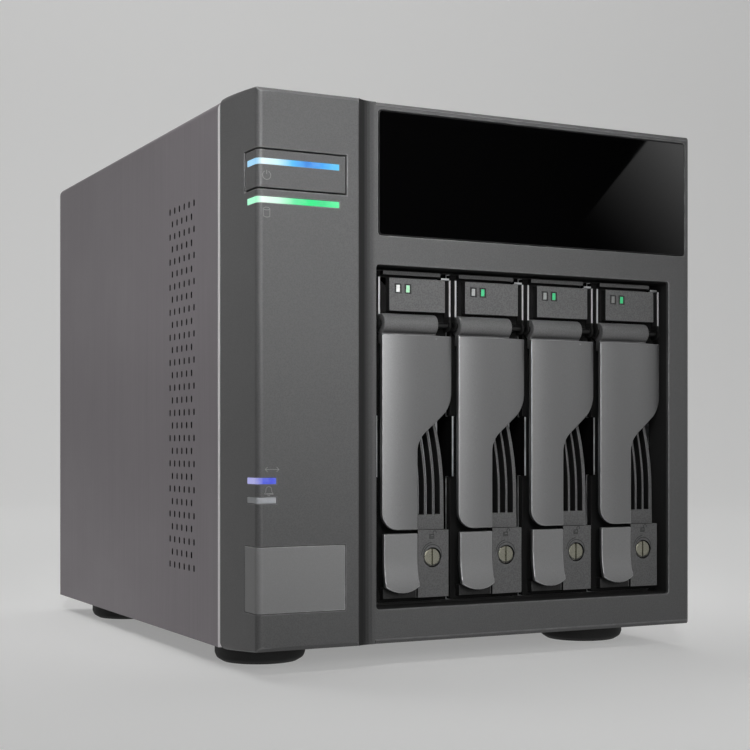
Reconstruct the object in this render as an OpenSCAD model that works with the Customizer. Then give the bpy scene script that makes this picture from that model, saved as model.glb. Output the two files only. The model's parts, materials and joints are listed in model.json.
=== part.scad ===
// Four-bay desktop storage enclosure with pull-out drive trays
// Front faces -Y, +X is to the right seen from the front, +Z is up, z = 0 is the table

/* [Enclosure] */
// Overall width
body_w = 170; // [168:0.5:210]
// Overall depth, front column to rear screw heads
body_d = 230; // [228:0.5:290]
// Overall height with the feet
body_h = 185.5; // [185:0.5:230]
// Sheet thickness of the cover and the chassis
sheet_t = 1.2; // [1:0.1:1.6]
// Outer bend radius of the cover's top edges
cover_bend_r = 3; // [2:0.5:5]
// Gap that the cover stands proud of the bezel's sides
cover_proud = 0.4; // [0.2:0.1:0.8]
// Width of the bright chamfer on the cover's front edge
cover_chamfer = 0.7; // [0.4:0.1:0.9]
// Width of the folded lip round the cover's rear edge
rear_lip_w = 7; // [6.8:0.1:8]
// Height of the rubber feet
foot_h = 7.9; // [7:0.1:10]
// Radius of a foot
foot_r = 15.3; // [10:0.1:18]
// Distance from the body's side to a foot's centre
foot_inset_x = 19.8; // [18.5:0.1:24]
// Distance from the front to the front feet's centres
foot_front_y = 45; // [40:0.5:60]
// Distance from the rear to the rear feet's centres
foot_rear_y = 39; // [30:0.5:60]

/* [Side vents] */
// Width of one vent slot
slot_w = 1.3; // [1:0.1:1.6]
// Height of one vent slot
slot_h = 2.3; // [1.8:0.1:2.8]
// Distance between slots in a row
slot_pitch = 4.95; // [4:0.05:6]
// Distance between rows
slot_row_pitch = 4.43; // [3.6:0.01:4.6]
// Slots in a long row, the rows between have one fewer
slot_count = 6; // [3:1:8]
// Number of rows
slot_rows = 29; // [5:2:31]
// Height of the lowest row
slot_z0 = 30.6; // [20:0.1:40]
// Distance from the cover's front edge to the first slot
slot_front = 23.5; // [10:0.5:40]

/* [Bezel] */
// Depth of the bezel behind the column's face
bezel_d = 32; // [30:0.5:40]
// Wall of the bezel
bezel_wall = 3; // [2.4:0.1:3.6]
// Step from the column's face back to the bay face
column_step = 4; // [3:0.1:6]
// Width of the hollow curve between the column and the bay face
cove_w = 8.2; // [6:0.1:12]
// Radius of the bezel's corners
bezel_corner_r = 2.5; // [1:0.1:4]
// Fall of the top and bottom towards the front, per millimetre of depth
bezel_slope = 0.087; // [0.04:0.001:0.12]
// Depth of the bevel round the front face
bevel_d = 1.4; // [0.8:0.1:2]
// Height of the bevel round the front face
bevel_h = 1.3; // [0.8:0.1:2]
// Rim of the bezel to the right of the bays
bay_right_rim = 10; // [8:0.5:14]
// Height of the bay opening's lower edge
bay_z0 = 19.5; // [18:0.1:24]
// Bridge between the bay opening and the dark window
window_bridge = 9.5; // [7:0.1:14]
// Rim round the dark window's top and right side
window_rim = 2.4; // [2:0.1:4]
// Thickness of the dark window
window_t = 2; // [1.5:0.1:2.2]

/* [Column] */
// Right rim of the column beside the button and the blank plate
column_rim = 4.6; // [3:0.1:8]
// How far the column's pieces wrap back round the left side
wrap_d = 10.2; // [8:0.1:14]
// Distance from the top down to the power button's lower edge
button_drop = 33.6; // [33:0.1:45]
// Height of the power button
button_h = 11.6; // [9:0.1:14]
// Gap round the power button
button_gap = 0.5; // [0.3:0.1:0.8]
// Travel of the power button
button_travel = 0.8; // [0.5:0.1:1.2]
// Height of a light bar
bar_h = 1.9; // [1.5:0.1:2.5]
// Distance of the long light bars' ends inside the column's pieces
bar_inset = 2.1; // [1:0.1:4]
// Width of the short light bars on the face
short_bar_w = 6.4; // [4:0.1:12]
// Height of the power light bar above the button's lower edge
power_bar_z = 7.1; // [4:0.1:8]
// Distance from the power button's lower edge down to the disk light bar's
disk_bar_drop = 4.7; // [4.3:0.1:20]
// Height of the link light bar
link_bar_z = 60.5; // [58:0.1:70]
// Height of the alert light bar
alert_bar_z = 54.5; // [48:0.1:56]
// Height of the blank plate's lower edge
plate_z0 = 20.4; // [18:0.1:26]
// Height of the blank plate
plate_h = 20.7; // [15:0.1:26]
// Thickness of the blank plate
plate_t = 1; // [0.8:0.1:1.5]

/* [Drives and bays] */
// Number of bays
bay_count = 4; // [4]
// Length of a drive
drive_l = 147; // [120:0.5:150]
// Width of a drive, which stands upright
drive_w = 101.6; // [84:0.1:102]
// Thickness of a drive
drive_t = 26.1; // [21:0.1:26.1]
// Room beside each drive for its tray plate and guide
bay_spare = 2.4; // [2.4:0.1:2.8]
// Room above and below a drive for its tray flanges and guides
bay_rail_h = 4.8; // [4.6:0.1:6]
// Room at each end of the row of bays
bay_end = 1.25; // [1.2:0.05:2]
// Clearance of a tray in its guides
tray_clear = 0.4; // [0.3:0.05:0.6]
// Thickness of a tray's metal plate
tray_plate_t = 1; // [0.8:0.1:1.2]

/* [Tray front] */
// Setback of the handles from the bay face
handle_setback = 1; // [0.6:0.1:1.6]
// Gap between the handle's left edge and the tray's edge
handle_gap = 0.8; // [0.6:0.1:1]
// How far the handle's right edge stands past the tray's edge
handle_over = 0.4; // [0:0.1:0.5]
// Thickness of a handle's shell
handle_t = 1.6; // [1.2:0.1:1.8]
// Radius of the crowned handle face
handle_crown_r = 70; // [60:1:120]
// Sideways shift of the crown's highest line
handle_crown_x = -4; // [-5:0.5:0]
// Distance of a handle's top below the bay's upper edge
handle_drop = 22.1; // [21.5:0.1:25]
// Height of a handle's foot above the bay's lower edge
handle_z0 = 25.3; // [25:0.1:27]
// Distance below the bay's upper edge where the handle starts to narrow
shoulder_drop = 40.7; // [36:0.1:44]
// Distance below the bay's upper edge where the handle has become narrow
waist_drop = 60.3; // [58:0.1:62]
// Radius of the rounded shoulder where the handle narrows
handle_shoulder_r = 9.9; // [7:0.1:11]
// Radius of the hollow curve above the handle's stem
handle_waist_r = 7.9; // [5:0.1:9]
// Right edge of the handle's narrow stem, from the bay's middle
handle_stem_x = 0.1; // [-2:0.1:2]
// Radius of the handle's rounded foot
handle_foot_r = 5.5; // [3:0.1:8]
// Distance of the hinge below the bay's upper edge
hinge_drop = 18.5; // [18.4:0.1:18.6]
// Setback of the hinge from the handle's face
hinge_setback = 3.5; // [3.3:0.1:4]
// Radius of the hinge barrel
barrel_r = 3.3; // [2.6:0.1:3.4]
// Distance of the hinge barrel's left end from the tray's side
barrel_left = 1.5; // [1.3:0.1:4]
// Distance of the hinge barrel's right end from the tray's side
barrel_right = 5.7; // [1.5:0.1:8]
// Radius of the hinge pin
pin_r = 1; // [0.8:0.05:1.2]
// Running clearance of the barrel on its pin
pin_run = 0.06; // [0.03:0.01:0.1]
// Clearance of a fixed pin in its seat
pin_seat = 0.02; // [0.01:0.01:0.05]
// Distance of the light block's lower edge below the bay's upper edge
light_block_drop = 14.3; // [14:0.1:14.8]
// Height of the light block
light_block_h = 10.8; // [8:0.1:11]
// Distance of the light block's left side from the tray's side
light_block_left = 4.7; // [1:0.1:6]
// Distance of the light block's right side from the tray's side
light_block_right = 1.7; // [1:0.1:4]
// Distance of the first light from the light block's left side
light_first = 3.2; // [2:0.1:5]
// Distance between the two lights
light_pitch = 3.65; // [2.6:0.05:5]
// Width of a light window
light_w = 1.4; // [1:0.1:2]
// Height of a light window
light_h = 2.3; // [1.6:0.1:3]
// Left edge of the lock block from the bay's middle
lock_block_x0 = 1.1; // [1:0.1:2]
// Distance of the lock block's right side from the tray's side
lock_block_right = 0.9; // [0.5:0.1:2]
// Height of the lock block
lock_block_h = 22.2; // [20:0.1:23]
// Height of the lock above the bay's lower edge
lock_z = 15.9; // [13:0.1:17]
// Radius of the lock barrel
lock_r = 2.9; // [2.4:0.05:3.2]
// Running clearance of the lock barrel
lock_run = 0.05; // [0.03:0.01:0.1]
// Distance of the release tab's left side from the tray's side
tab_left = 1.8; // [1:0.1:4]
// Height of the release tab's top above the bay's lower edge
tab_z1 = 24.1; // [23:0.1:24.3]
// Height of the release tab's lowest point above the bay's lower edge
tab_z0 = 4.8; // [4.5:0.1:7]
// Thickness of the release tab
tab_t = 1.5; // [1.2:0.1:1.8]
// How far the release tab's lip curls forward
tab_curl = 2.3; // [1:0.1:2.6]
// Travel of the release tab
tab_travel = 2.5; // [1.5:0.1:2.8]
// Width of one vent slit in the tray front
slit_w = 2.1; // [1.6:0.1:2.3]
// Thickness of the ribs between the vent slits
rib_w = 0.9; // [0.7:0.1:1.2]
// Number of vent slits in a tray front
slit_count = 3; // [2:1:3]
// Width of the last rib beside the open corner
end_rib_w = 1.4; // [1:0.1:2]
// Distance of the last rib from the tray's side
slit_right = 1.6; // [1:0.1:3]
// Distance of the slits' top below the bay's upper edge
slit_drop = 27.2; // [26:0.1:32]
// Radius of the curve that the vent slits follow
slit_bend_r = 96; // [80:1:140]

/* [Fan and power supply] */
// Size of the square rear fan
fan_size = 120; // [92:1:120]
// Depth of the rear fan
fan_d = 25; // [15:1:25]
// Distance between the rear fan's screw holes
fan_hole_pitch = 105; // [78:0.5:105]
// Room below the rear fan
fan_lift = 6; // [2:0.5:6]
// Blades of the rear fan
fan_blades = 7; // [5:1:9]
// Wire radius of the fan guard
guard_wire_r = 0.8; // [0.6:0.1:0.9]
// Width of the power supply
psu_w = 81.5; // [78:0.5:84]
// Height of the power supply
psu_h = 40.5; // [38:0.5:41]
// Length of the power supply
psu_l = 150; // [130:1:150]
// Bore radius of the small fan
psu_fan_r = 18.6; // [15:0.1:18.6]
// Blades of the small fan
psu_fan_blades = 7; // [5:1:9]

/* [Hidden] */
$fn = 48;
eps = 0.01;
fit = 0.1;
arc_steps = 8;

// Outer faces of the enclosure
left_x = -body_w / 2;
right_x = body_w / 2;
front_y = -body_d / 2;
rear_y = body_d / 2;
screw_head_h = 2;
cover_y1 = rear_y - screw_head_h;
bezel_y1 = front_y + bezel_d;
cover_z0 = foot_h - sheet_t;
cover_z1 = body_h - 0.7;
cover_flange = 3.6;
base_z1 = foot_h + sheet_t;
panel_y1 = cover_y1 - sheet_t;
panel_y0 = panel_y1 - sheet_t;

// Bays
bay_pitch = drive_t + bay_spare;
bay_h = drive_w + 2 * bay_rail_h;
bay_z1 = bay_z0 + bay_h;
bay_mid_z = (bay_z0 + bay_z1) / 2;
bay_w = bay_count * bay_pitch + 2 * bay_end;
bay_x1 = right_x - bay_right_rim;
bay_x0 = bay_x1 - bay_w;
function bay_x(i) = bay_x0 + bay_end + bay_pitch * (i + 0.5);
bays = [0 : bay_count - 1];

// Bezel outline
bezel_x0 = left_x + cover_proud;
bezel_x1 = right_x - cover_proud;
bezel_z0 = foot_h - 1.9;
bezel_z1 = body_h;
face_y = front_y + column_step;
cove_x1 = bay_x0 - 0.3;
column_x1 = cove_x1 - cove_w;
cove_r = (cove_w * cove_w + column_step * column_step) / (2 * column_step);
column_corner_r = 2;
piece_x1 = column_x1 - column_rim;
wrap_y1 = front_y + wrap_d;
bar_x1 = piece_x1 - bar_inset;
bar_y1 = wrap_y1 - bar_inset;
short_bar_x1 = bezel_x0 + short_bar_w;
button_z0 = body_h - button_drop;
disk_bar_z = button_z0 - disk_bar_drop;
power_bar_z0 = button_z0 + power_bar_z;
spigot_l = 6;
spigot_t = 2;

// Window
window_z0 = bay_z1 + window_bridge;
window_z1 = body_h - bezel_d * bezel_slope - window_rim + 0.4;
window_x0 = cove_x1 + 0.9;
window_x1 = bezel_x1 - window_rim;

// Trays, across the bay measured from its middle
tray_half = bay_pitch / 2 - 0.65;
tray_z0 = bay_z0 + 0.7 + tray_clear;
tray_z1 = bay_z1 - 0.5 - tray_clear;
drive_x0 = -tray_half + tray_plate_t;
drive_z0 = bay_z0 + bay_rail_h;
drive_z1 = drive_z0 + drive_w;
handle_y = face_y + handle_setback;
wall_y0 = handle_y + 5.5;
wall_y1 = wall_y0 + 2.5;
drive_y0 = wall_y1 + 2;
drive_y1 = drive_y0 + drive_l;
board_y0 = drive_y1 + 5;
board_t = 1.6;
hinge_y = handle_y + hinge_setback;
pin_z = bay_z1 - hinge_drop;
handle_x0 = handle_gap - tray_half;
handle_x1 = tray_half + handle_over;
handle_z1 = bay_z1 - handle_drop;
handle_foot_z = bay_z0 + handle_z0;
barrel_x0 = barrel_left - tray_half;
barrel_x1 = tray_half - barrel_right;
cheek_t = 0.75;
cheek_r = pin_r + 1;
barrel_gap = 0.4;
light_block_y = handle_y + 3;
lock_block_y = handle_y + 2;
slit_panel_y = handle_y + 4.2;
tab_y = handle_y + 1.2;
lock_block_x1 = tray_half - lock_block_right;
lock_block_z0 = bay_z0 + 2.8;
lock_x = (lock_block_x0 + lock_block_x1) / 2 - 0.3;
tab_x0 = tab_left - tray_half;
tab_x1 = lock_block_x0 - 0.4;
slit_x1 = tray_half - slit_right;
slit_z1 = bay_z1 - slit_drop;

// Cage and guides
cage_x0 = bay_x0 - sheet_t;
cage_x1 = bay_x1 + sheet_t;
collar_l = 9;
cage_y0 = face_y + bezel_wall + collar_l;
guide_t = 1.8;
cage_z0 = tray_z0 - tray_clear - guide_t;
cage_z1 = tray_z1 + tray_clear + guide_t;
guide_rib_h = 2.8;
guide_rib_w = bay_pitch - 2 * tray_half - 0.6;

// Rear fan and power supply
fan_side_room = 8.2;
fan_x = min((bay_x0 + bay_x1) / 2, right_x - fan_side_room - fan_size / 2);
fan_z = base_z1 + fan_lift + fan_size / 2;
fan_y0 = panel_y0 - fan_d;
fan_bore_r = fan_size / 2 - 2;
fan_hub_r = 20;
fan_shaft_r = 1.5;
fan_wheel_y1 = panel_y0 - 1.6;
hub_cap_t = 2;
shaft_run = 0.05;
psu_z0 = max(cage_z1 + sheet_t + 2.5, fan_z + fan_size / 2 + 0.6);
psu_x0 = fan_x - 29;
psu_y0 = panel_y0 - psu_l;
psu_wall = 1;
inlet_x = psu_x0 + psu_w - 19;
inlet_z = psu_z0 + psu_h / 2;
inlet_w = 27;
inlet_h = 19.6;
psu_fan_x = psu_x0 + 22;
psu_hub_r = 8;
psu_shaft_r = 1.2;
psu_wheel_y1 = panel_y0 - 2;

// Main board and its socket
main_board_x = min(cage_x0 - 6, fan_x - fan_size / 2 - 5);
main_board_y0 = cage_y0 + 110;
main_board_y1 = panel_y0 - 1;
main_board_z0 = bay_z0 + 10;
main_board_z1 = cage_z1 - 10.5;
usb_w = 12;
usb_h = 11;
usb_z = main_board_z0 + 30;
usb_l = 17;
lock_slot_w = 7;
lock_slot_h = 3.2;
lock_slot_z = usb_z - 14;

// Board behind the column, and the switch behind the power button
board_face_y = front_y + 6.6;
switch_x = (bezel_x0 + column_x1) / 2;
switch_z = button_z0 + button_h / 2;
plunger_y = board_face_y - 1.4;
function board_bosses() = [for (z = [75, 125]) [switch_x, z]];

// Sockets that the drives plug into
socket_x = drive_x0 + 5;
socket_w = 7;
socket_l = 42;
socket_z0 = drive_z0 + 14;
socket_y0 = drive_y1 - 3;

// Light windows, the spring hook beside them and the release tab's stem
light_block_x0 = light_block_left - tray_half;
light_block_x1 = tray_half - light_block_right;
light_block_z0 = bay_z1 - light_block_drop;
light_block_z1 = light_block_z0 + light_block_h;
light_z = light_block_z1 - 3.4;
function light_points() = [for (k = [0, 1]) light_block_x0 + light_first + k * light_pitch];
hook_x0 = tray_half - 2.9;
hook_x1 = tray_half - 0.4;
hook_front_x1 = tray_half + 0.1;
hook_t = 0.6;
hook_z0 = light_block_z1 + 0.2;
tab_mid_x = (tab_x0 + tab_x1) / 2;
tab_stem_w = 4;
tab_stem_h = 4;
tab_stem_z = bay_z0 + 19;

// Ledge under the release tab, and the tongue of the metal plate beside the handle
ledge_x0 = tab_x0 + 0.6;
ledge_y = lock_block_y + 1;
ledge_z1 = bay_z0 + 6.4;
tongue_t = 0.6;
tongue_z0 = bay_mid_z - 13;
tongue_z1 = bay_mid_z + 7;

// Screws at the rear: shank and head radii, and the room round a shank in its hole
screw_room = 0.3;
cover_screw_r = 1.5;
cover_head_r = 3.2;
cover_screw_end = 22.2;
fan_screw_r = 1.9;
fan_head_r = 3.4;
psu_screw_r = 1.4;
psu_head_r = 3;
psu_screw_inset = 3.5;
head_h = 1.5;

// Mouth and floor of the mains inlet
inlet_y1 = panel_y1 + 1;
inlet_floor = inlet_y1 - 17;

per_bay = ["tray_sled", "tray_front", "tray_handle", "handle_pin",
    "release_tab", "tray_lock", "tray_lights", "hard_drive"];

// Box between two opposite corners
module block(low, high) {
    translate(low) cube(high - low);
}

// Outline in X and Y made solid from z0 to z1
module along_z(z0, z1) {
    translate([0, 0, z0]) linear_extrude(z1 - z0) children();
}

// Outline in X and Z made solid from y0 to y1
module along_y(y0, y1) {
    translate([0, y1, 0]) rotate([90, 0, 0]) linear_extrude(y1 - y0) children();
}

// Outline in Y and Z made solid from x0 to x1
module along_x(x0, x1) {
    translate([x0, 0, 0]) rotate([90, 0, 90]) linear_extrude(x1 - x0) children();
}

// Rectangle with rounded corners between two opposite corners
module round_rect(low, high, r) {
    translate([low.x + r, low.y]) square([high.x - low.x - 2 * r, high.y - low.y]);
    translate([low.x, low.y + r]) square([high.x - low.x, high.y - low.y - 2 * r]);
    for (x = [low.x + r, high.x - r])
        for (y = [low.y + r, high.y - r])
            translate([x, y]) circle(r);
}

// Upright slot with round ends
module upright_slot(w, h) {
    translate([-w / 2, (w - h) / 2]) square([w, h - w]);
    for (side = [-1, 1])
        translate([0, side * (h - w) / 2]) circle(w / 2);
}

// Round bar along Y
module rod_y(r, y0, y1) {
    translate([0, y1, 0]) rotate([90, 0, 0]) cylinder(r = r, h = y1 - y0);
}

// Round bar along X
module rod_x(r, x0, x1) {
    translate([x0, 0, 0]) rotate([0, 90, 0]) cylinder(r = r, h = x1 - x0);
}

// Arch of the cover in X and Z, set in from the outer faces
module cover_arch(inset) {
    r = max(cover_bend_r - inset, 0.5);
    x = right_x - inset;
    z = cover_z1 - inset;
    translate([-x, cover_z0]) square([2 * x, z - r - cover_z0]);
    translate([r - x, cover_z0]) square([2 * (x - r), z - cover_z0]);
    for (side = [-1, 1])
        translate([side * (x - r), z - r]) circle(r);
}

// Part of the cover's arch above a height
module chassis_arch(inset, z0) {
    intersection() {
        cover_arch(inset);
        translate([left_x, z0]) square([body_w, body_h - z0]);
    }
}

// Staggered vent slots in Y and Z
module vent_slots() {
    for (row = [0 : slot_rows - 1])
        for (k = [0 : slot_count - 1 - row % 2])
            translate([bezel_y1 + slot_front + (k + (row % 2) / 2) * slot_pitch,
                slot_z0 + row * slot_row_pitch])
                upright_slot(slot_w, slot_h);
}

// Places of the screws that hold the cover's lip to the rear panel, in X and Z
function cover_screw_points() = [for (x = [left_x, right_x])
    for (z = [cover_screw_end, body_h / 2, body_h - cover_screw_end])
    [x - sign(x) * rear_lip_w / 2, z]];

// Places of the rear fan's screws, in X and Z
function fan_screw_points() = [for (x = [-1, 1]) for (z = [-1, 1])
    [fan_x + x * fan_hole_pitch / 2, fan_z + z * fan_hole_pitch / 2]];

// Places of the power supply's screws, in X and Z
function psu_screw_points() = [for (corner = [[0, 0], [0, 1], [1, 0]])
    [psu_x0 + psu_screw_inset + corner.x * (psu_w - 2 * psu_screw_inset),
        psu_z0 + psu_screw_inset + corner.y * (psu_h - 2 * psu_screw_inset)]];

module outer_cover() {
    color("#4b464a")
    difference() {
        union() {
            along_y(bezel_y1, cover_y1) difference() {
                cover_arch(0);
                translate([0, -eps]) cover_arch(sheet_t);
            }
            along_y(panel_y1, cover_y1) difference() {
                cover_arch(0);
                translate([0, -eps]) cover_arch(rear_lip_w);
            }
            for (side = [-1, 1])
                block([side > 0 ? right_x - cover_flange : left_x, bezel_y1 + spigot_l + 1, cover_z0],
                    [side > 0 ? right_x : left_x + cover_flange, cover_y1, foot_h]);
        }
        along_x(left_x - 1, right_x + 1) vent_slots();
        for (p = cover_screw_points())
            translate([p.x, 0, p.y]) rod_y(cover_screw_r + screw_room, panel_y0, cover_y1 + 1);
        along_x(left_x, right_x)
            polygon([[bezel_y1 - 1, cover_z1 - cover_chamfer - 1], [bezel_y1 - 1, cover_z1 + 1],
                [bezel_y1 + cover_chamfer + 1, cover_z1 + 1]]);
        for (side = [-1, 1])
            along_z(0, body_h)
                polygon([[side * (right_x - cover_chamfer - 1), bezel_y1 - 1],
                    [side * (right_x + 1), bezel_y1 - 1],
                    [side * (right_x + 1), bezel_y1 + cover_chamfer + 1]]);
    }
}

// Top of the bezel at a depth
function bezel_top(y) = bezel_z1 - bezel_slope * (bezel_y1 - y);
// Bottom of the bezel at a depth
function bezel_bottom(y) = bezel_z0 + bezel_slope * (bezel_y1 - y);

// Side view of the bezel in Y and Z, with its front face at a depth
module bezel_side(front, inset = 0, rear = bezel_y1) {
    y = front + bevel_d;
    polygon([[rear, bezel_bottom(rear) + inset], [rear, bezel_top(rear) - inset],
        [y, bezel_top(y) - inset], [front, bezel_top(y) - inset - bevel_h],
        [front, bezel_bottom(y) + inset + bevel_h], [y, bezel_bottom(y) + inset]]);
}

// Column seen from above, set in from its faces
module column_plan(inset) {
    r = max(column_corner_r - inset, 0.3);
    x0 = bezel_x0 + inset;
    y0 = front_y + inset;
    translate([x0 + r, y0]) square([column_x1 - x0 - r, bezel_y1 - y0]);
    translate([x0, y0 + r]) square([column_x1 - x0, bezel_y1 - y0 - r]);
    translate([x0 + r, y0 + r]) circle(r);
}

// Bezel seen from above: column, hollow curve and bay face
module bezel_plan() {
    r = column_corner_r;
    column_plan(0);
    translate([column_x1 - eps, face_y]) square([bezel_x1 - column_x1 - r + eps, bezel_d - column_step]);
    translate([bezel_x1 - r - eps, face_y + r]) square([r + eps, bezel_d - column_step - r]);
    translate([bezel_x1 - r, face_y + r]) circle(r);
    difference() {
        translate([column_x1 - eps, front_y]) square([cove_w + eps, column_step + eps]);
        translate([cove_x1, face_y - cove_r]) circle(cove_r, $fn = 96);
    }
}

// Shell of the column's left corner from the faces inwards
module column_skin(z0, z1, x1, y1, t) {
    along_z(z0, z1) intersection() {
        difference() {
            column_plan(0);
            column_plan(t);
        }
        translate([bezel_x0 - 1, front_y - 1]) square([x1 - bezel_x0 + 1, y1 - front_y + 1]);
    }
}

// Room for a piece that wraps round the column's left corner
module column_room(z0, z1, x1, y1) {
    block([bezel_x0 - 1, front_y - 1, z0], [x1, y1, z1]);
}

module bezel_shell() {
    inner_x = column_x1 - bezel_wall;
    difference() {
        intersection() {
            along_z(0, body_h + 1) bezel_plan();
            along_y(front_y, bezel_y1)
                round_rect([bezel_x0, bezel_z0], [bezel_x1, bezel_z1], bezel_corner_r);
            union() {
                along_x(bezel_x0, cove_x1) bezel_side(front_y);
                along_x(cove_x1 - eps, bezel_x1) bezel_side(face_y);
            }
        }
        along_x(bezel_x0 + bezel_wall, inner_x) bezel_side(front_y + bezel_wall, bezel_wall, bezel_y1 + 1);
        along_x(inner_x - eps, bezel_x1 - bezel_wall)
            bezel_side(face_y + bezel_wall, bezel_wall, bezel_y1 + 1);
    }
}

module front_bezel() {
    color("#3c3c3e")
    difference() {
        union() {
            bezel_shell();
            along_y(bezel_y1 - spigot_l, bezel_y1 + spigot_l) difference() {
                chassis_arch(sheet_t + fit, base_z1);
                chassis_arch(sheet_t + fit + spigot_t, base_z1 + spigot_t);
                translate([cage_x0 - 1, base_z1 - 1]) square([cage_x1 - cage_x0 + 2, spigot_t + 2]);
            }
            along_y(face_y + 1, cage_y0) difference() {
                translate([bay_x0 - sheet_t, bay_z0 - sheet_t])
                    square([bay_w + 2 * sheet_t, bay_h + 2 * sheet_t]);
                round_rect([bay_x0, bay_z0], [bay_x1, bay_z1], 1);
            }
            for (p = board_bosses())
                translate([p.x, 0, p.y]) rod_y(3, front_y + bezel_wall - eps, board_face_y);
        }
        along_y(face_y - 1, face_y + bezel_wall + 1) round_rect([bay_x0, bay_z0], [bay_x1, bay_z1], 1);
        along_y(face_y - 1, face_y + window_t)
            round_rect([window_x0, window_z0], [window_x1, window_z1], 1.2);
        column_room(button_z0 - button_gap, button_z0 + button_h + button_gap,
            piece_x1 + button_gap, wrap_y1 + button_gap);
        column_room(disk_bar_z, disk_bar_z + bar_h, bar_x1, bar_y1);
        for (z = [link_bar_z, alert_bar_z])
            column_room(z, z + bar_h, short_bar_x1, bar_y1);
        column_skin(plate_z0, plate_z0 + plate_h, piece_x1, wrap_y1, plate_t);
        for (p = foot_points())
            translate([p.x, p.y, -1]) cylinder(r = foot_r + 0.5, h = foot_h + 1 + fit);
    }
}

module display_window() {
    color("#08080a")
    along_y(face_y, face_y + window_t)
        round_rect([window_x0 + fit, window_z0 + fit], [window_x1 - fit, window_z1 - fit], 1.2);
}

module power_button() {
    flange_y = front_y + bezel_wall + 0.15;
    color("#3a3a3c")
    difference() {
        union() {
            column_skin(button_z0, button_z0 + button_h, piece_x1, wrap_y1 - button_gap, 2);
            block([bezel_x0 + bezel_wall + 0.5, front_y + 1.9, button_z0],
                [piece_x1, flange_y + eps, button_z0 + button_h]);
            block([bezel_x0 + bezel_wall + 0.5, flange_y, button_z0 - 1.6],
                [piece_x1 + 1.1, flange_y + 0.8, button_z0 + button_h + 1.6]);
            translate([switch_x, 0, switch_z]) rod_y(2, flange_y, plunger_y);
        }
        column_skin(power_bar_z0, power_bar_z0 + bar_h, bar_x1, bar_y1, 1.5);
    }
}

module power_light_bar() {
    color("#4a86ff") column_skin(power_bar_z0, power_bar_z0 + bar_h, bar_x1, bar_y1, 1.5);
}

module disk_light_bar() {
    color("#58e08a") column_skin(disk_bar_z, disk_bar_z + bar_h, bar_x1, bar_y1, bezel_wall);
}

module link_light_bar() {
    color("#4a70e0") column_skin(link_bar_z, link_bar_z + bar_h, short_bar_x1, bar_y1, bezel_wall);
}

module alert_light_bar() {
    color("#b8b8c0") column_skin(alert_bar_z, alert_bar_z + bar_h, short_bar_x1, bar_y1, bezel_wall);
}

module blank_plate() {
    color("#6a6a6c")
    column_skin(plate_z0 + fit, plate_z0 + plate_h - fit, piece_x1 - fit, wrap_y1 - fit, plate_t);
}

module indicator_board() {
    lamp_x = bezel_x0 + bezel_wall + 1.5;
    color("#1f5a32") {
        block([bezel_x0 + bezel_wall + 0.6, board_face_y, alert_bar_z - 6],
            [column_x1 - bezel_wall - 0.6, board_face_y + board_t, button_z0 + button_h + 6]);
        translate([switch_x, 0, switch_z]) {
            block([-3, plunger_y + button_travel, -3], [3, board_face_y, 3]);
        }
        for (z = [disk_bar_z, link_bar_z, alert_bar_z])
            block([lamp_x, front_y + bezel_wall + 0.4, z], [lamp_x + 2.4, board_face_y, z + bar_h]);
    }
}

module base_plate() {
    x = right_x - sheet_t - fit;
    y0 = bezel_y1 + eps;
    rim_y0 = bezel_y1 + spigot_l + fit;
    rim_h = 10;
    color("#55555a")
    difference() {
        union() {
            block([-x, y0, foot_h], [x, panel_y0, base_z1]);
            for (side = [-1, 1])
                block([side > 0 ? x - sheet_t : -x, rim_y0, foot_h],
                    [side > 0 ? x : sheet_t - x, panel_y0, base_z1 + rim_h]);
        }
        for (p = foot_points())
            translate([p.x, p.y, foot_h - 1]) cylinder(r = 2, h = sheet_t + 2);
    }
}

function foot_points() = [for (x = [left_x + foot_inset_x, right_x - foot_inset_x])
    for (y = [front_y + foot_front_y, rear_y - foot_rear_y]) [x, y]];

module feet() {
    color("#141415")
    for (p = foot_points())
        translate([p.x, p.y, 0]) rotate_extrude()
            polygon([[3.5, 3], [3.5, 1], [6, 0], [foot_r - 2.6, 0], [foot_r - 0.6, 1.2],
                [foot_r, 2.8], [foot_r, foot_h - 0.6], [foot_r - 0.6, foot_h],
                [2, foot_h], [2, 3]]);
}

// Grid of round-ended vents in the rear panel, in X and Z
module rear_vents() {
    for (k = [0 : 4])
        for (row = [0 : 3])
            translate([left_x + 18 + k * 5, main_board_z1 + 8 + row * 11])
                upright_slot(2.4, 8);
}

module rear_panel() {
    color("#5a5a5e")
    along_y(panel_y0, panel_y1) difference() {
        chassis_arch(sheet_t + fit, base_z1);
        translate([fan_x, fan_z]) circle(fan_bore_r - 1, $fn = 96);
        for (p = fan_screw_points())
            translate(p) circle(fan_screw_r + screw_room);
        for (p = cover_screw_points())
            translate(p) circle(cover_screw_r + screw_room);
        for (p = psu_screw_points())
            translate(p) circle(psu_screw_r + screw_room);
        round_rect([psu_x0 + 1.5, psu_z0 + 7], [psu_x0 + psu_w - 1.5, psu_z0 + psu_h - 7], 2);
        round_rect([psu_x0 + 7, psu_z0 + 1.5], [psu_x0 + psu_w - 7, psu_z0 + psu_h - 1.5], 2);
        translate([main_board_x - usb_w / 2, usb_z + usb_h / 2])
            square([usb_w + 0.4, usb_h + 0.4], center = true);
        translate([left_x + 20, lock_slot_z]) rotate(90) upright_slot(lock_slot_h, lock_slot_w);
        rear_vents();
    }
}

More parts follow.
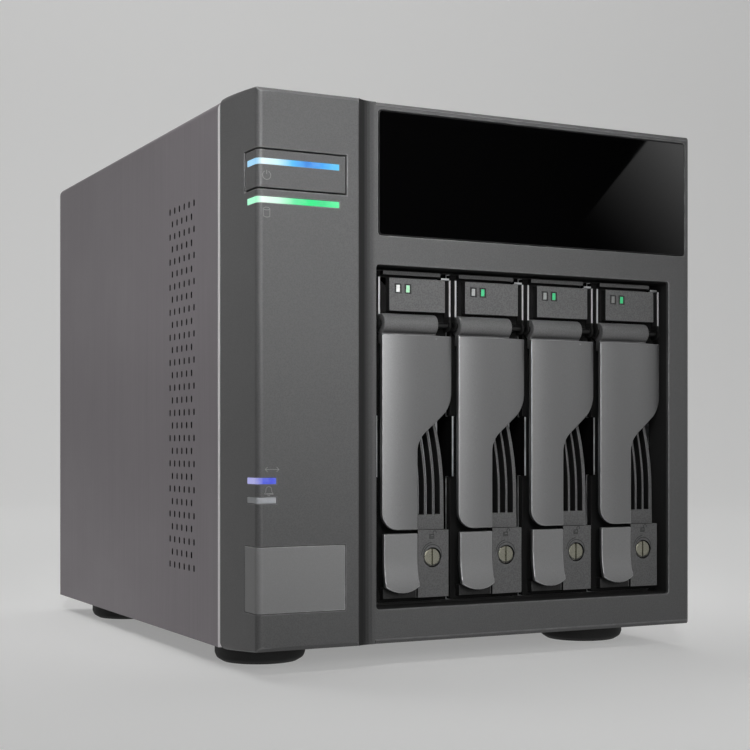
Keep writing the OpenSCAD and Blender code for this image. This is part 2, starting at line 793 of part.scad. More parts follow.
module drive_cage() {
    color("#7c7c80")
    difference() {
        along_y(cage_y0, board_y0) difference() {
            translate([cage_x0, base_z1]) square([cage_x1 - cage_x0, cage_z1 + sheet_t - base_z1]);
            translate([bay_x0, cage_z0]) square([bay_w, cage_z1 - cage_z0]);
            translate([bay_x0, base_z1 - 1]) square([bay_w, cage_z0 - sheet_t - base_z1 + 1]);
        }
        block([left_x, cage_y0 - 1, 0], [right_x, bezel_y1 + spigot_l + 0.5, cage_z0 - sheet_t]);
    }
}

module guide_rails() {
    rib_z0 = cage_z0 + guide_t + guide_rib_h;
    rib_z1 = cage_z1 - guide_t - guide_rib_h;
    color("#202022")
    along_y(cage_y0, board_y0 - 1) {
        translate([bay_x0, cage_z0]) square([bay_w, guide_t]);
        translate([bay_x0, cage_z1 - guide_t]) square([bay_w, guide_t]);
        for (i = [0 : bay_count]) {
            x = bay_x0 + bay_end + i * bay_pitch - guide_rib_w / 2;
            translate([x, cage_z0]) square([guide_rib_w, rib_z0 - cage_z0]);
            translate([x, rib_z1]) square([guide_rib_w, cage_z1 - rib_z1]);
        }
    }
}

module backplane_board() {
    color("#1f5a32")
    along_y(board_y0, board_y0 + board_t) difference() {
        translate([cage_x0, cage_z0 - sheet_t])
            square([cage_x1 - cage_x0, cage_z1 - cage_z0 + 2 * sheet_t]);
        for (i = bays)
            translate([bay_x(i) + 6, bay_mid_z]) upright_slot(9, drive_w - 2 * 15.2);
    }
}

module sata_connectors() {
    color("#161618")
    for (i = bays)
        translate([bay_x(i) + socket_x, 0, socket_z0])
            difference() {
                block([-socket_w / 2, socket_y0, 0], [socket_w / 2, board_y0, socket_l]);
                block([-1.2, socket_y0 - 1, 1.5], [1.2, socket_y0 + 5, socket_l - 1.5]);
            }
}

module hard_drive(i) {
    lid_t = 0.8;
    groove_d = 0.4;
    platter_r = drive_w / 2 - 6;
    x1 = drive_x0 + drive_t;
    color("#a8a8ac")
    translate([bay_x(i), 0, 0]) {
        difference() {
            union() {
                along_x(drive_x0, x1 - lid_t)
                    round_rect([drive_y0, drive_z0], [drive_y1, drive_z1], 2);
                along_x(x1 - lid_t - eps, x1)
                    round_rect([drive_y0 + 2, drive_z0 + 2], [drive_y1 - 2, drive_z1 - 2], 5);
            }
            block([socket_x - socket_w / 2 - 1, drive_y1 - 5, socket_z0 - 1],
                [socket_x + socket_w / 2 + 1, drive_y1 + 1, socket_z0 + socket_l + 1]);
            translate([0, drive_y0 + 54, bay_mid_z]) difference() {
                rod_x(platter_r, x1 - groove_d, x1 + 1);
                rod_x(platter_r - 1.4, x1 - lid_t, x1 + 2);
            }
            for (y = [drive_y0 + 8, (drive_y0 + drive_y1) / 2, drive_y1 - 8])
                for (z = [drive_z0 + 6, drive_z1 - 6])
                    translate([0, y, z]) rod_x(1.9, x1 - groove_d, x1 + 1);
        }
        block([socket_x - 0.7, drive_y1 - 5 - eps, socket_z0 + 2],
            [socket_x + 0.7, drive_y1 - 0.6, socket_z0 + socket_l - 2]);
    }
}

// Section of a tray's metal plate in X and Z
module sled_section() {
    x0 = -tray_half;
    lip = 3;
    translate([x0, tray_z0]) square([tray_plate_t, tray_z1 - tray_z0]);
    for (z = [drive_z0 - tray_plate_t, drive_z1])
        translate([x0, z]) square([14, tray_plate_t]);
    for (z = [tray_z0, tray_z1 - tray_plate_t])
        translate([x0, z]) square([lip, tray_plate_t]);
}

module tray_sled(i) {
    hole_h = 18;
    hole_row = 22.4;
    flange_z1 = drive_z1 + tray_plate_t;
    color("#b4b4b8")
    translate([bay_x(i), 0, 0])
    difference() {
        union() {
            along_y(wall_y1, drive_y1 - 2) sled_section();
            block([-tray_half, wall_y1, drive_z1], [hook_x1, wall_y1 + 30, flange_z1]);
            block([hook_x0, wall_y1, flange_z1 - eps], [hook_x1, wall_y1 + 0.8, hook_z0 + hook_t]);
            block([hook_x0, wall_y0 - 2, hook_z0], [hook_x1, wall_y1 + 0.8, hook_z0 + hook_t]);
            block([hook_x0, wall_y0 - 2, hook_z0], [hook_front_x1, wall_y0 - 0.2, hook_z0 + hook_t]);
            block([-tray_half, wall_y0 - 1.8, tongue_z0], [tongue_t - tray_half, wall_y1 + eps, tongue_z1]);
        }
        along_x(-tray_half - 1, drive_x0 + eps)
            for (k = [0 : 5])
                for (row = [-1, 1])
                    translate([drive_y0 + 22 + k * 20, bay_mid_z + row * hole_row])
                        upright_slot(8, hole_h);
    }
}

// Sideways place of a curved slit's middle at its foot, from the bay's middle
function slit_x(k) = slit_x1 - end_rib_w - slit_w / 2 - (slit_count - 1 - k) * (slit_w + rib_w);

// Curved slit in X and Z: a straight foot, then an arc that leans left
module curved_slit(x, w, z0, z1) {
    bend_z = bay_z0 + 36.5;
    translate([x - w / 2, z0]) square([w, bend_z - z0]);
    intersection() {
        translate([x - slit_bend_r, bend_z]) difference() {
            circle(slit_bend_r + w / 2, $fn = 192);
            circle(slit_bend_r - w / 2, $fn = 192);
        }
        translate([x - 20, bend_z]) square([20 + w, z1 - bend_z]);
    }
}

// Wall of the tray front in X and Z, with the open corner beside the slits
module tray_wall() {
    open_w = 12;
    difference() {
        translate([0.2 - tray_half, tray_z0 + 0.3])
            square([2 * tray_half - 0.4, tray_z1 - tray_z0 - 0.6]);
        for (k = [0 : slit_count - 1])
            curved_slit(slit_x(k), slit_w, bay_z0 + 30, slit_z1);
        curved_slit(slit_x1 + open_w / 2, open_w, lock_block_z0 + lock_block_h + 0.2, slit_z1);
        translate([hook_x0 - 0.3, hook_z0 - 0.15]) square([tray_half, tray_z1 - hook_z0]);
    }
}

// Cheek that carries the hinge pin, in Y and Z
module cheek_side() {
    translate([hinge_y, pin_z]) circle(cheek_r);
    translate([hinge_y - 1.5, pin_z]) square([wall_y0 - hinge_y + 1.5 + eps, light_block_z1 - pin_z]);
    translate([hinge_y, pin_z - cheek_r]) square([wall_y0 - hinge_y + eps, cheek_r + 1]);
}

module tray_front(i) {
    panel_z0 = bay_z0 + 20;
    strip_x0 = 2.6 - tray_half;
    color("#3e3e40")
    translate([bay_x(i), 0, 0])
    difference() {
        union() {
            along_y(wall_y0, wall_y1) tray_wall();
            along_y(slit_panel_y, wall_y0 + eps) intersection() {
                tray_wall();
                translate([lock_block_x0, panel_z0]) square([slit_x1 - lock_block_x0, slit_z1 - panel_z0]);
            }
            block([light_block_x0, light_block_y, light_block_z0],
                [light_block_x1, wall_y0 + eps, light_block_z1]);
            block([strip_x0, wall_y0 - 2, light_block_z1 + 1], [hook_x0 - 0.3, wall_y0 + eps, tray_z1 - 0.3]);
            block([lock_block_x0, lock_block_y, lock_block_z0],
                [lock_block_x1, wall_y0 + eps, lock_block_z0 + lock_block_h]);
            block([ledge_x0, ledge_y, lock_block_z0], [lock_block_x0 + eps, wall_y0 + eps, ledge_z1]);
            for (x = [-tray_half + 0.1, tray_half - 0.1 - cheek_t])
                along_x(x, x + cheek_t) cheek_side();
        }
        block([-tray_half - 1, wall_y0 - 1, tongue_z0 - 0.2],
            [tongue_t + 0.3 - tray_half, wall_y1 + 1, tongue_z1 + 0.2]);
        translate([0, hinge_y, pin_z]) {
            rod_x(pin_r + pin_seat, -tray_half - 1, tray_half + 1);
            rod_x(barrel_r + barrel_gap, barrel_x0 - barrel_gap, barrel_x1 + barrel_gap);
        }
        for (x = light_points())
            block([x - light_w / 2, light_block_y - 1, light_z - light_h / 2],
                [x + light_w / 2, wall_y1 + 1, light_z + light_h / 2]);
        translate([lock_x, 0, bay_z0 + lock_z]) {
            rod_y(lock_r + lock_run, lock_block_y - 1, wall_y1 + 1);
            rod_y(lock_r + 0.35, lock_block_y - 1, lock_block_y + 0.8);
        }
        translate([tab_mid_x, 0, tab_stem_z])
            block([-tab_stem_w / 2 - 0.3, wall_y0 - 1, -tab_stem_h / 2 - 0.4 - tab_travel],
                [tab_stem_w / 2 + 0.3, wall_y1 + 1, tab_stem_h / 2 + 0.4]);
    }
}

module tray_lights(i) {
    color("#9af0b0")
    translate([bay_x(i), 0, 0])
    for (x = light_points())
        block([x - light_w / 2, light_block_y, light_z - light_h / 2],
            [x + light_w / 2, wall_y1, light_z + light_h / 2]);
}

// Points of an arc between two angles in degrees
function arc(c, r, a0, a1) =
    [for (k = [0 : arc_steps]) let (a = a0 + (a1 - a0) * k / arc_steps) c + r * [cos(a), sin(a)]];

// Turn of the handle's two arcs up to the straight line that joins them
function lean_angle(run, drop, r_sum) =
    let (dx = run - r_sum)
    atan2(dx, drop) + asin(r_sum / norm([dx, drop]));

// Outline of a handle in X and Z: wide head, curved shoulder, narrow stem
module handle_outline() {
    shoulder_z = bay_z1 - shoulder_drop;
    waist_z = bay_z1 - waist_drop;
    r1 = handle_shoulder_r;
    r2 = handle_waist_r;
    x0 = handle_x0;
    x1 = handle_x1;
    lean = lean_angle(x1 - handle_stem_x, shoulder_z - waist_z, r1 + r2);
    polygon(concat(
        [[x0, handle_z1], [x1, handle_z1]],
        arc([x1 - r1, shoulder_z], r1, 0, -lean),
        arc([handle_stem_x + r2, waist_z], r2, 180 - lean, 180),
        [[handle_stem_x, handle_foot_z]],
        arc([x0 + handle_foot_r, handle_foot_z + handle_foot_r], handle_foot_r, 270, 180)));
}

module tray_handle(i) {
    crown_c = [handle_crown_x, handle_y + handle_crown_r, 0];
    arm_h = 3;
    color("#8a8a8c")
    translate([bay_x(i), 0, 0])
    difference() {
        union() {
            intersection() {
                along_y(handle_y - 1, handle_y + 6) handle_outline();
                translate(crown_c) difference() {
                    cylinder(r = handle_crown_r, h = body_h, $fn = 192);
                    translate([0, 0, -1]) cylinder(r = handle_crown_r - handle_t, h = body_h + 2, $fn = 192);
                }
            }
            translate([0, hinge_y, pin_z]) rod_x(barrel_r, barrel_x0, barrel_x1);
            block([barrel_x0, hinge_y - 1.2, handle_z1 - arm_h],
                [barrel_x1, hinge_y + 0.8, pin_z - barrel_r / 2]);
            block([barrel_x0, handle_y + 0.9, handle_z1 - arm_h],
                [barrel_x1, hinge_y + 0.8, handle_z1 - 1.2]);
        }
        translate([0, hinge_y, pin_z]) rod_x(pin_r + pin_run, -tray_half, tray_half);
    }
}

module handle_pin(i) {
    color("#d0d0d4")
    translate([bay_x(i), hinge_y, pin_z]) rod_x(pin_r, 0.15 - tray_half, tray_half - 0.15);
}

// Side view of the release tab in Y and Z: flat above, curled forward below
module tab_side() {
    bend_z = bay_z0 + 16.5;
    reach = bend_z - bay_z0 - tab_z0;
    r = (reach * reach + tab_curl * tab_curl) / (2 * tab_curl);
    translate([tab_y, bend_z]) square([tab_t, bay_z0 + tab_z1 - bend_z]);
    intersection() {
        translate([tab_y - r, bend_z]) difference() {
            circle(r + tab_t, $fn = 96);
            circle(r, $fn = 96);
        }
        translate([tab_y - 4, bend_z - reach]) square([4 + tab_t, reach]);
    }
}

// Front view of the release tab in X and Z, with a rounded lower edge
module tab_front_view() {
    w = tab_x1 - tab_x0;
    sag = 2;
    r = (w * w / 4 + sag * sag) / (2 * sag);
    spread = asin(w / (2 * r));
    top = bay_z0 + tab_z1;
    polygon(concat([[tab_x1, top], [tab_x0, top]],
        arc([tab_mid_x, bay_z0 + tab_z0 + r], r, 270 - spread, 270 + spread)));
}

module release_tab(i) {
    color("#9a9a9c")
    translate([bay_x(i), 0, 0]) {
        intersection() {
            along_x(tab_x0, tab_x1) tab_side();
            along_y(handle_y - 4, wall_y0) tab_front_view();
        }
        translate([tab_mid_x, 0, tab_stem_z]) {
            block([-tab_stem_w / 2, tab_y + tab_t - 0.6, -tab_stem_h / 2],
                [tab_stem_w / 2, wall_y1 + 0.4, tab_stem_h / 2]);
            block([-tab_stem_w / 2 - 2, wall_y1 + 0.3, -tab_stem_h / 2],
                [tab_stem_w / 2 + 2, wall_y1 + 1.3, tab_stem_h / 2]);
        }
    }
}

module tray_lock(i) {
    slot = 0.6;
    face = lock_block_y + 0.3;
    color("#b0a878")
    translate([bay_x(i) + lock_x, 0, bay_z0 + lock_z])
    difference() {
        union() {
            rod_y(lock_r, face, wall_y1 + 0.4);
            rod_y(lock_r + 0.9, wall_y1 + 0.3, wall_y1 + 1.3);
            block([-1.5, wall_y1 + 0.3, 0], [1.5, wall_y1 + 1.3, lock_r + 2.6]);
        }
        block([-slot / 2, face - 1, -lock_r - 1], [slot / 2, face + 0.8, lock_r + 1]);
    }
}

module main_board() {
    x = main_board_x;
    color("#1f5a32") {
        block([x, main_board_y0, main_board_z0], [x + board_t, main_board_y1, main_board_z1]);
        for (y = [main_board_y0 + 8, board_y0 - 6])
            for (z = [main_board_z0 + 6, main_board_z1 - 6])
                translate([0, y, z]) rod_x(2.5, x + board_t - eps, cage_x0);
        for (k = [0 : 7])
            block([x - 9, main_board_y0 + 14 + k * 3.4, main_board_z0 + 50],
                [x, main_board_y0 + 15.2 + k * 3.4, main_board_z0 + 80]);
        block([x - 2, main_board_y0 + 13, main_board_z0 + 49], [x, main_board_y0 + 41, main_board_z0 + 81]);
    }
}

module usb_socket() {
    x1 = main_board_x;
    y1 = panel_y1 + 0.6;
    wall = 0.9;
    color("#c8c8cc")
    difference() {
        block([x1 - usb_w, y1 - usb_l, usb_z], [x1, y1, usb_z + usb_h]);
        block([x1 - usb_w + wall, y1 - 9, usb_z + wall], [x1 - wall, y1 + 1, usb_z + usb_h - wall]);
    }
    color("#202022")
    block([x1 - usb_w / 2 - 2.8, y1 - 9 - eps, usb_z + usb_h / 2 - 1.6],
        [x1 - usb_w / 2 + 2.8, y1 - 1, usb_z + usb_h / 2 + 1.6]);
}

module power_supply() {
    low = [psu_x0, psu_y0, psu_z0];
    high = [psu_x0 + psu_w, panel_y0, psu_z0 + psu_h];
    wall = [psu_wall, psu_wall, psu_wall];
    ring_r = psu_fan_r + 1.6;
    ring_y0 = panel_y0 - 16;
    color("#8c8c90")
    difference() {
        block(low, high);
        block(low + wall, high - wall);
        translate([psu_fan_x, 0, inlet_z]) rod_y(psu_fan_r + 0.6, panel_y0 - 2, panel_y0 + 1);
        block([inlet_x - inlet_w / 2, panel_y0 - 2, inlet_z - inlet_h / 2],
            [inlet_x + inlet_w / 2, panel_y0 + 1, inlet_z + inlet_h / 2]);
        for (p = psu_screw_points())
            translate([p.x, 0, p.y]) rod_y(psu_screw_r + screw_room, panel_y0 - 2, panel_y0 + 1);
    }
    color("#202022")
    translate([psu_fan_x, 0, inlet_z]) {
        rod_y(psu_shaft_r, ring_y0 + 2, psu_wheel_y1 - hub_cap_t - 0.6);
        rod_y(psu_hub_r - 0.5, ring_y0, ring_y0 + 3);
        for (a = [45 : 90 : 315])
            rotate([0, a, 0]) block([psu_hub_r - 2, ring_y0, -1], [ring_r, ring_y0 + 2, 1]);
        difference() {
            rod_y(ring_r, ring_y0, panel_y0 - psu_wall);
            rod_y(psu_fan_r, ring_y0 - 1, panel_y0);
        }
    }
}

// Hollow of the mains inlet in X and Z, with two cut corners
module inlet_hollow() {
    w = 24;
    h = 16;
    cut = 5;
    translate([inlet_x, inlet_z])
        polygon([[-w / 2, -h / 2], [w / 2, -h / 2], [w / 2, h / 2 - cut], [w / 2 - cut, h / 2],
            [cut - w / 2, h / 2], [-w / 2, h / 2 - cut]]);
}

module power_inlet() {
    color("#18181a")
    difference() {
        block([inlet_x - inlet_w / 2, inlet_floor - 3, inlet_z - inlet_h / 2],
            [inlet_x + inlet_w / 2, inlet_y1, inlet_z + inlet_h / 2]);
        along_y(inlet_floor, inlet_y1 + 1) inlet_hollow();
        inlet_blades(inlet_floor - 4, inlet_floor + 1);
    }
}

// Places of the three inlet pins in X and Z
function inlet_pin_points() = [for (p = [[-7, -2], [7, -2], [0, 2]]) [inlet_x + p.x, inlet_z + p.y]];

// Flat blades at the three pins' places
module inlet_blades(y0, y1) {
    for (p = inlet_pin_points())
        block([p.x - 1, y0, p.y - 2], [p.x + 1, y1, p.y + 2]);
}

module inlet_pins() {
    color("#d8d0a8") inlet_blades(inlet_floor - 6, inlet_floor + 13);
}

// Flat tilted blades round a hub on a shaft along Y
module fan_wheel(hub_r, tip_r, y0, y1, blades, shaft_r, pitch) {
    difference() {
        union() {
            rod_y(hub_r, y0, y1);
            intersection() {
                rod_y(tip_r, y0, y1);
                for (k = [0 : blades - 1])
                    rotate([0, k * 360 / blades, 0]) translate([0, (y0 + y1) / 2, 0])
                        rotate([pitch, 0, 0]) block([hub_r - 2, -tip_r, -0.7], [tip_r + 2, tip_r, 0.7]);
            }
        }
        rod_y(shaft_r + shaft_run, y0 - 1, y1 - hub_cap_t);
    }
}

module psu_fan_rotor() {
    color("#2a2a2c")
    translate([psu_fan_x, 0, inlet_z])
        fan_wheel(psu_hub_r, psu_fan_r - 0.6, psu_wheel_y1 - 10.5, psu_wheel_y1,
            psu_fan_blades, psu_shaft_r, 50);
}

module psu_bracket() {
    z0 = cage_z1 + sheet_t;
    y1 = min(board_y0 + 20, fan_y0 - 1);
    y0 = max(psu_y0 + 5, cage_y0);
    color("#6c6c70")
    along_y(y0, y1) {
        translate([psu_x0, psu_z0 - sheet_t]) square([psu_w, sheet_t]);
        for (x = [psu_x0, psu_x0 + psu_w - sheet_t])
            translate([x, z0]) square([sheet_t, psu_z0 - z0]);
        for (x = [psu_x0 - 8, psu_x0 + psu_w - sheet_t])
            translate([x, z0]) square([8 + sheet_t, sheet_t]);
    }
}

module fan_frame() {
    half = fan_size / 2;
    hub_t = 3;
    color("#1c1c1e")
    translate([fan_x, 0, fan_z]) {
        along_y(fan_y0, panel_y0) difference() {
            round_rect([-half, -half], [half, half], 5);
            circle(fan_bore_r, $fn = 96);
            for (x = [-1, 1])
                for (z = [-1, 1])
                    translate([x, z] * fan_hole_pitch / 2) circle(fan_screw_r + screw_room);
        }
        rod_y(fan_hub_r, fan_y0, fan_y0 + hub_t);
        rod_y(fan_shaft_r, fan_y0 + hub_t - eps, fan_wheel_y1 - hub_cap_t - 0.4);
        for (a = [30 : 90 : 300])
            rotate([0, a, 0]) block([fan_hub_r - 2, fan_y0, -2.5], [fan_bore_r + 1, fan_y0 + 2.4, 2.5]);
    }
}

module fan_rotor() {
    color("#2a2a2c")
    translate([fan_x, 0, fan_z])
        fan_wheel(fan_hub_r, fan_bore_r - 1.2, fan_y0 + 3.6, fan_wheel_y1, fan_blades, fan_shaft_r, 48);
}

module fan_guard() {
    ring_y = panel_y1 + 2.2 * guard_wire_r;
    wire_y = panel_y1 + guard_wire_r;
    color("#d4d4d8")
    translate([fan_x, 0, fan_z]) {
        for (r = [14 : 10 : fan_bore_r - 3])
            translate([0, ring_y, 0]) rotate([90, 0, 0]) rotate_extrude($fn = 96)
                translate([r, 0]) circle(guard_wire_r, $fn = 24);
        for (a = [45 : 90 : 315])
            rotate([0, a, 0]) translate([0, wire_y, 0])
                rod_x(guard_wire_r, 13, fan_hole_pitch / sqrt(2) - 3);
        for (p = fan_screw_points())
            translate([p.x - fan_x, 0, p.y - fan_z]) difference() {
                rod_y(fan_head_r + 0.2, panel_y1, panel_y1 + 2 * guard_wire_r);
                rod_y(fan_screw_r + screw_room, panel_y1 - 1, panel_y1 + 2 * guard_wire_r + 1);
            }
    }
}

// Screw with a flat round head, seated at a depth
module rear_screw(seat_y, head_r, shank_r, shank_l) {
    rod_y(head_r, seat_y, seat_y + head_h);
    rod_y(shank_r, seat_y - shank_l, seat_y + eps);
}

module rear_screws() {
    color("#c4c4c8") {
        for (p = cover_screw_points())
            translate([p.x, 0, p.y]) {
                rear_screw(cover_y1, cover_head_r, cover_screw_r, 6);
                rod_y(cover_head_r, cover_y1 + head_h - eps, rear_y);
            }
        for (p = fan_screw_points())
            translate([p.x, 0, p.y]) rear_screw(panel_y1 + 2 * guard_wire_r, fan_head_r, fan_screw_r, 9);
        for (p = psu_screw_points())
            translate([p.x, 0, p.y]) rear_screw(panel_y1, psu_head_r, psu_screw_r, 4);
    }
}

outer_cover();
front_bezel();
display_window();
power_button();
power_light_bar();
disk_light_bar();
link_light_bar();
alert_light_bar();
blank_plate();
indicator_board();
base_plate();
feet();
rear_panel();
drive_cage();
guide_rails();
backplane_board();
sata_connectors();
main_board();
usb_socket();
power_supply();
power_inlet();
inlet_pins();
psu_fan_rotor();
psu_bracket();
fan_frame();
fan_rotor();
fan_guard();
rear_screws();
for (i = bays) {
    tray_sled(i);
    tray_front(i);
    tray_handle(i);
    handle_pin(i);
    release_tab(i);
    tray_lock(i);
    tray_lights(i);
    hard_drive(i);
}
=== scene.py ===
"""Looks of a four-bay desktop drive enclosure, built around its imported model."""
import json
import math

import bmesh
import bpy
from bpy.props import FloatProperty, FloatVectorProperty, IntProperty, PointerProperty
from bpy.types import Operator, Panel, PropertyGroup
from mathutils import Matrix, Vector

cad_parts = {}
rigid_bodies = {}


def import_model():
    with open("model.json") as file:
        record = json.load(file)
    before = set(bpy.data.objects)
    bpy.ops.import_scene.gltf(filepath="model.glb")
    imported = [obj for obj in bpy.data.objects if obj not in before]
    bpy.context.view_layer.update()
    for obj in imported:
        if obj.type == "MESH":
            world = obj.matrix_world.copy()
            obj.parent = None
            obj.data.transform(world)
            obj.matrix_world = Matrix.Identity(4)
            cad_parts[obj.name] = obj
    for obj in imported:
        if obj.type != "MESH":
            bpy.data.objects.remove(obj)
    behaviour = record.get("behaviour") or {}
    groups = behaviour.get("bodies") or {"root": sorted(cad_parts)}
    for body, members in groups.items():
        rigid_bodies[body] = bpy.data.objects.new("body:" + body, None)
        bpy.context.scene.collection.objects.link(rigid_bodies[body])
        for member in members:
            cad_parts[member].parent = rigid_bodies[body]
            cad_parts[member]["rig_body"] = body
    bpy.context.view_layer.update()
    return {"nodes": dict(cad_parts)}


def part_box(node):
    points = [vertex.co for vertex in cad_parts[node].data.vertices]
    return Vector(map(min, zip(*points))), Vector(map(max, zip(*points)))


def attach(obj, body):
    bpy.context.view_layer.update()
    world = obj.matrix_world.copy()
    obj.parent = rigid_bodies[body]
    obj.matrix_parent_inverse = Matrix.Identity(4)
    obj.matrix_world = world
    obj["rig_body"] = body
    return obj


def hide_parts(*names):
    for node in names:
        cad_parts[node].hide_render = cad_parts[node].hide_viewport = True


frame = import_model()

bl_info = {
    "name": "Drive enclosure looks",
    "version": (1, 0, 0),
    "blender": (4, 5, 0),
    "location": "3D View > Sidebar > Enclosure",
    "description": "Finishes, icons, screws and stage of a four-bay drive enclosure",
    "category": "Object",
}

MM = 0.001
BAYS = (1, 2, 3, 4)
NODES = frame["nodes"]

# The handles' crown, thickness and barrel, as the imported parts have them.
CROWN_R = 70 * MM
CROWN_X = -4 * MM
HANDLE_T = 1.6 * MM
BARREL_D = 6.6 * MM

# Faces and openings of the imported parts that a finish, a print or the painted shade keeps to.
LIGHT_FACE_Y = -107 * MM
LOCK_FACE_Y = -108 * MM
TRAY_WALL_Y = -104.9 * MM
BAY_FACE_Y = -111 * MM
COVE_X = (-49.6 * MM, -41.6 * MM)
LEDGE_X = 14.3 * MM
LEDGE_Z = 26.5 * MM
BAY_LOW = (-41.5 * MM, 19.5 * MM)
BAY_HIGH = (75 * MM, 130.7 * MM)

LAMP_EDGE = 0.1 * MM
LAMP_FRAME_LINE = 0.5 * MM
LOCK_MARK_LINE = 0.28 * MM
EDGE_MARK = "rounded_edge"
DUST = (0.30, 0.29, 0.28)
BLACK = (0.0, 0.0, 0.0)
WHITE = (1.0, 1.0, 1.0)


def colour(name, default, description):
    """A colour property, in linear values."""
    return FloatVectorProperty(name=name, description=description, default=default,
                               size=3, subtype="COLOR", min=0.0, max=1.0)


def length(name, millimetres, description):
    """A length property, given in millimetres."""
    return FloatProperty(name=name, description=description, default=millimetres * MM,
                         subtype="DISTANCE", unit="LENGTH", min=0.0, precision=5)


def number(name, default, description, **limits):
    """A number property."""
    return FloatProperty(name=name, description=description, default=default, **limits)


class EnclosureColours(PropertyGroup):
    """Colours of the enclosure's finishes."""
    cover: colour("Cover", (0.246, 0.223, 0.241), "Brushed metal of the outer cover")
    bezel: colour("Bezel", (0.072, 0.072, 0.073), "Moulded plastic of the front")
    plate: colour("Lower plate", (0.205, 0.205, 0.207), "Satin plate low on the column")
    window: colour("Window", (0.0015, 0.0015, 0.0016), "Gloss front above the bays")
    handle: colour("Handle", (0.190, 0.191, 0.193), "Metallic paint of the tray handles")
    tab: colour("Release tab", (0.230, 0.231, 0.233), "Metallic paint of the release tabs")
    tray: colour("Tray front", (0.092, 0.092, 0.093), "Moulded plastic of the tray fronts")
    # Painted shade: this near-black colour is laid where shade falls, on the tray fronts' back and side
    # walls, the sleds' side walls, inside the bay opening, in the column's hollow and on the walls of the
    # cover's slots.
    painted_shade: colour("Tray recess", (0.0015, 0.0015, 0.0015), "Back wall and side walls of the tray fronts")
    cheek: colour("Tray cheek", (0.36, 0.36, 0.365), "Bare edges beside the tray lights")
    zinc: colour("Zinc", (0.52, 0.53, 0.54), "Zinc-plated sheet")
    powder: colour("Powder coat", (0.030, 0.030, 0.031), "Painted sheet of the chassis")
    rubber: colour("Rubber", (0.010, 0.010, 0.010), "Feet")
    ink: colour("Ink", (0.25, 0.25, 0.25), "Printed icons of the column")
    # The tray marks colour also paints the shade ring round each lock.
    mark: colour("Tray marks", (0.014, 0.014, 0.014), "Printed marks beside the locks")
    nickel: colour("Nickel", (0.31, 0.305, 0.25), "Tray locks")
    floor: colour("Floor", (0.74, 0.74, 0.735), "Floor and backdrop")


class EnclosureSizes(PropertyGroup):
    """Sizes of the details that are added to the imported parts."""
    bezel_edge: length("Bezel edge", 0.35, "Rounding of the front's moulded edges")
    fine_edge: length("Fine edge", 0.18, "Rounding of lenses, tabs and small edges")
    foot_edge: length("Foot edge", 0.5, "Rounding of the rubber feet")
    icon_line: length("Icon line", 0.17, "Width of the icons' printed lines")
    icon_proud: length("Icon height", 0.015, "How far the print stands off its surface")
    grain: number("Grain", 2400.0, "Bumps per metre of the moulded texture", min=100.0)
    hairline: number("Hairlines", 2600.0, "Brush lines per metre on the cover", min=100.0)
    edge_steps: IntProperty(name="Edge steps", description="Faces across a rounded edge",
                            default=3, min=1, max=6)


class EnclosureStage(PropertyGroup):
    """Camera and light of the studio."""
    camera_place: FloatVectorProperty(name="Camera", description="Place of the camera", size=3,
                                      subtype="TRANSLATION", unit="LENGTH",
                                      default=(-0.260788, -0.548343, 0.072855))
    camera_turn: number("Camera turn", math.radians(27.224), "Turn to the right of straight on",
                        subtype="ANGLE", unit="ROTATION")
    lens: number("Lens", 72.934, "Focal length in millimetres")
    shift_x: number("Shift X", -0.02343, "Sideways lens shift")
    shift_y: number("Shift Y", 0.0920, "Upward lens shift")
    ambient: number("Ambient", 0.035, "Even light from all round", min=0.0)
    surround: number("Surround", 0.25, "Grey of the room beyond the floor, as gloss mirrors it",
                     min=0.0, max=1.0)
    horizon: number("Horizon", 0.332, "Grey of the room beyond the floor, as the camera sees it",
                    min=0.0, max=1.0)


# Node trees

def put(tree, kind, inputs=None, **settings):
    """Adds a node, sets its settings, and fills or links its inputs."""
    node = tree.nodes.new(kind)
    for name, value in settings.items():
        setattr(node, name, value)
    for key, value in (inputs or {}).items():
        if isinstance(value, bpy.types.NodeSocket):
            tree.links.new(value, node.inputs[key])
        else:
            node.inputs[key].default_value = value
    return node


def sums(tree, operation, a, b=0.0, clamp=False):
    """A Math node's result."""
    return put(tree, "ShaderNodeMath", {0: a, 1: b}, operation=operation, use_clamp=clamp).outputs[0]


def times(tree, a, b):
    """Two values multiplied."""
    return sums(tree, "MULTIPLY", a, b)


def blend(tree, a, share_a, b, share_b):
    """Two values added, each with its share."""
    return sums(tree, "ADD", times(tree, a, share_a), times(tree, b, share_b))


def vectors(tree, operation, a, b):
    """A Vector Math node's results."""
    return put(tree, "ShaderNodeVectorMath", {0: a, 1: b}, operation=operation).outputs


def spread(tree, value, low, high, to_low=0.0, to_high=1.0):
    """A value carried from one range to another, held at the ends."""
    ends = {0: value, 1: low, 2: high, 3: to_low, 4: to_high}
    return put(tree, "ShaderNodeMapRange", ends).outputs[0]


def tint(tree, factor, first, second):
    """A colour between two colours."""
    ends = {slot: value if isinstance(value, bpy.types.NodeSocket) else (*value[:3], 1.0)
            for slot, value in ((6, first), (7, second))}
    return put(tree, "ShaderNodeMix", {0: factor, **ends}, data_type="RGBA").outputs[2]


def ramp(tree, factor, stops, interpolation="LINEAR"):
    """A colour ramp's result; the first two stops take the marks that a new ramp has."""
    node = put(tree, "ShaderNodeValToRGB", {0: factor})
    node.color_ramp.interpolation = interpolation
    marks = node.color_ramp.elements
    for index, (position, shown) in enumerate(stops):
        mark = marks[index] if index < 2 else marks.new(position)
        mark.position = position
        mark.color = (*shown, 1.0)
    return node.outputs[0]


def place(tree):
    """Object coordinates."""
    return put(tree, "ShaderNodeTexCoord").outputs["Object"]


def parts_of(tree, vector):
    """The three parts of a vector."""
    return put(tree, "ShaderNodeSeparateXYZ", {0: vector}).outputs


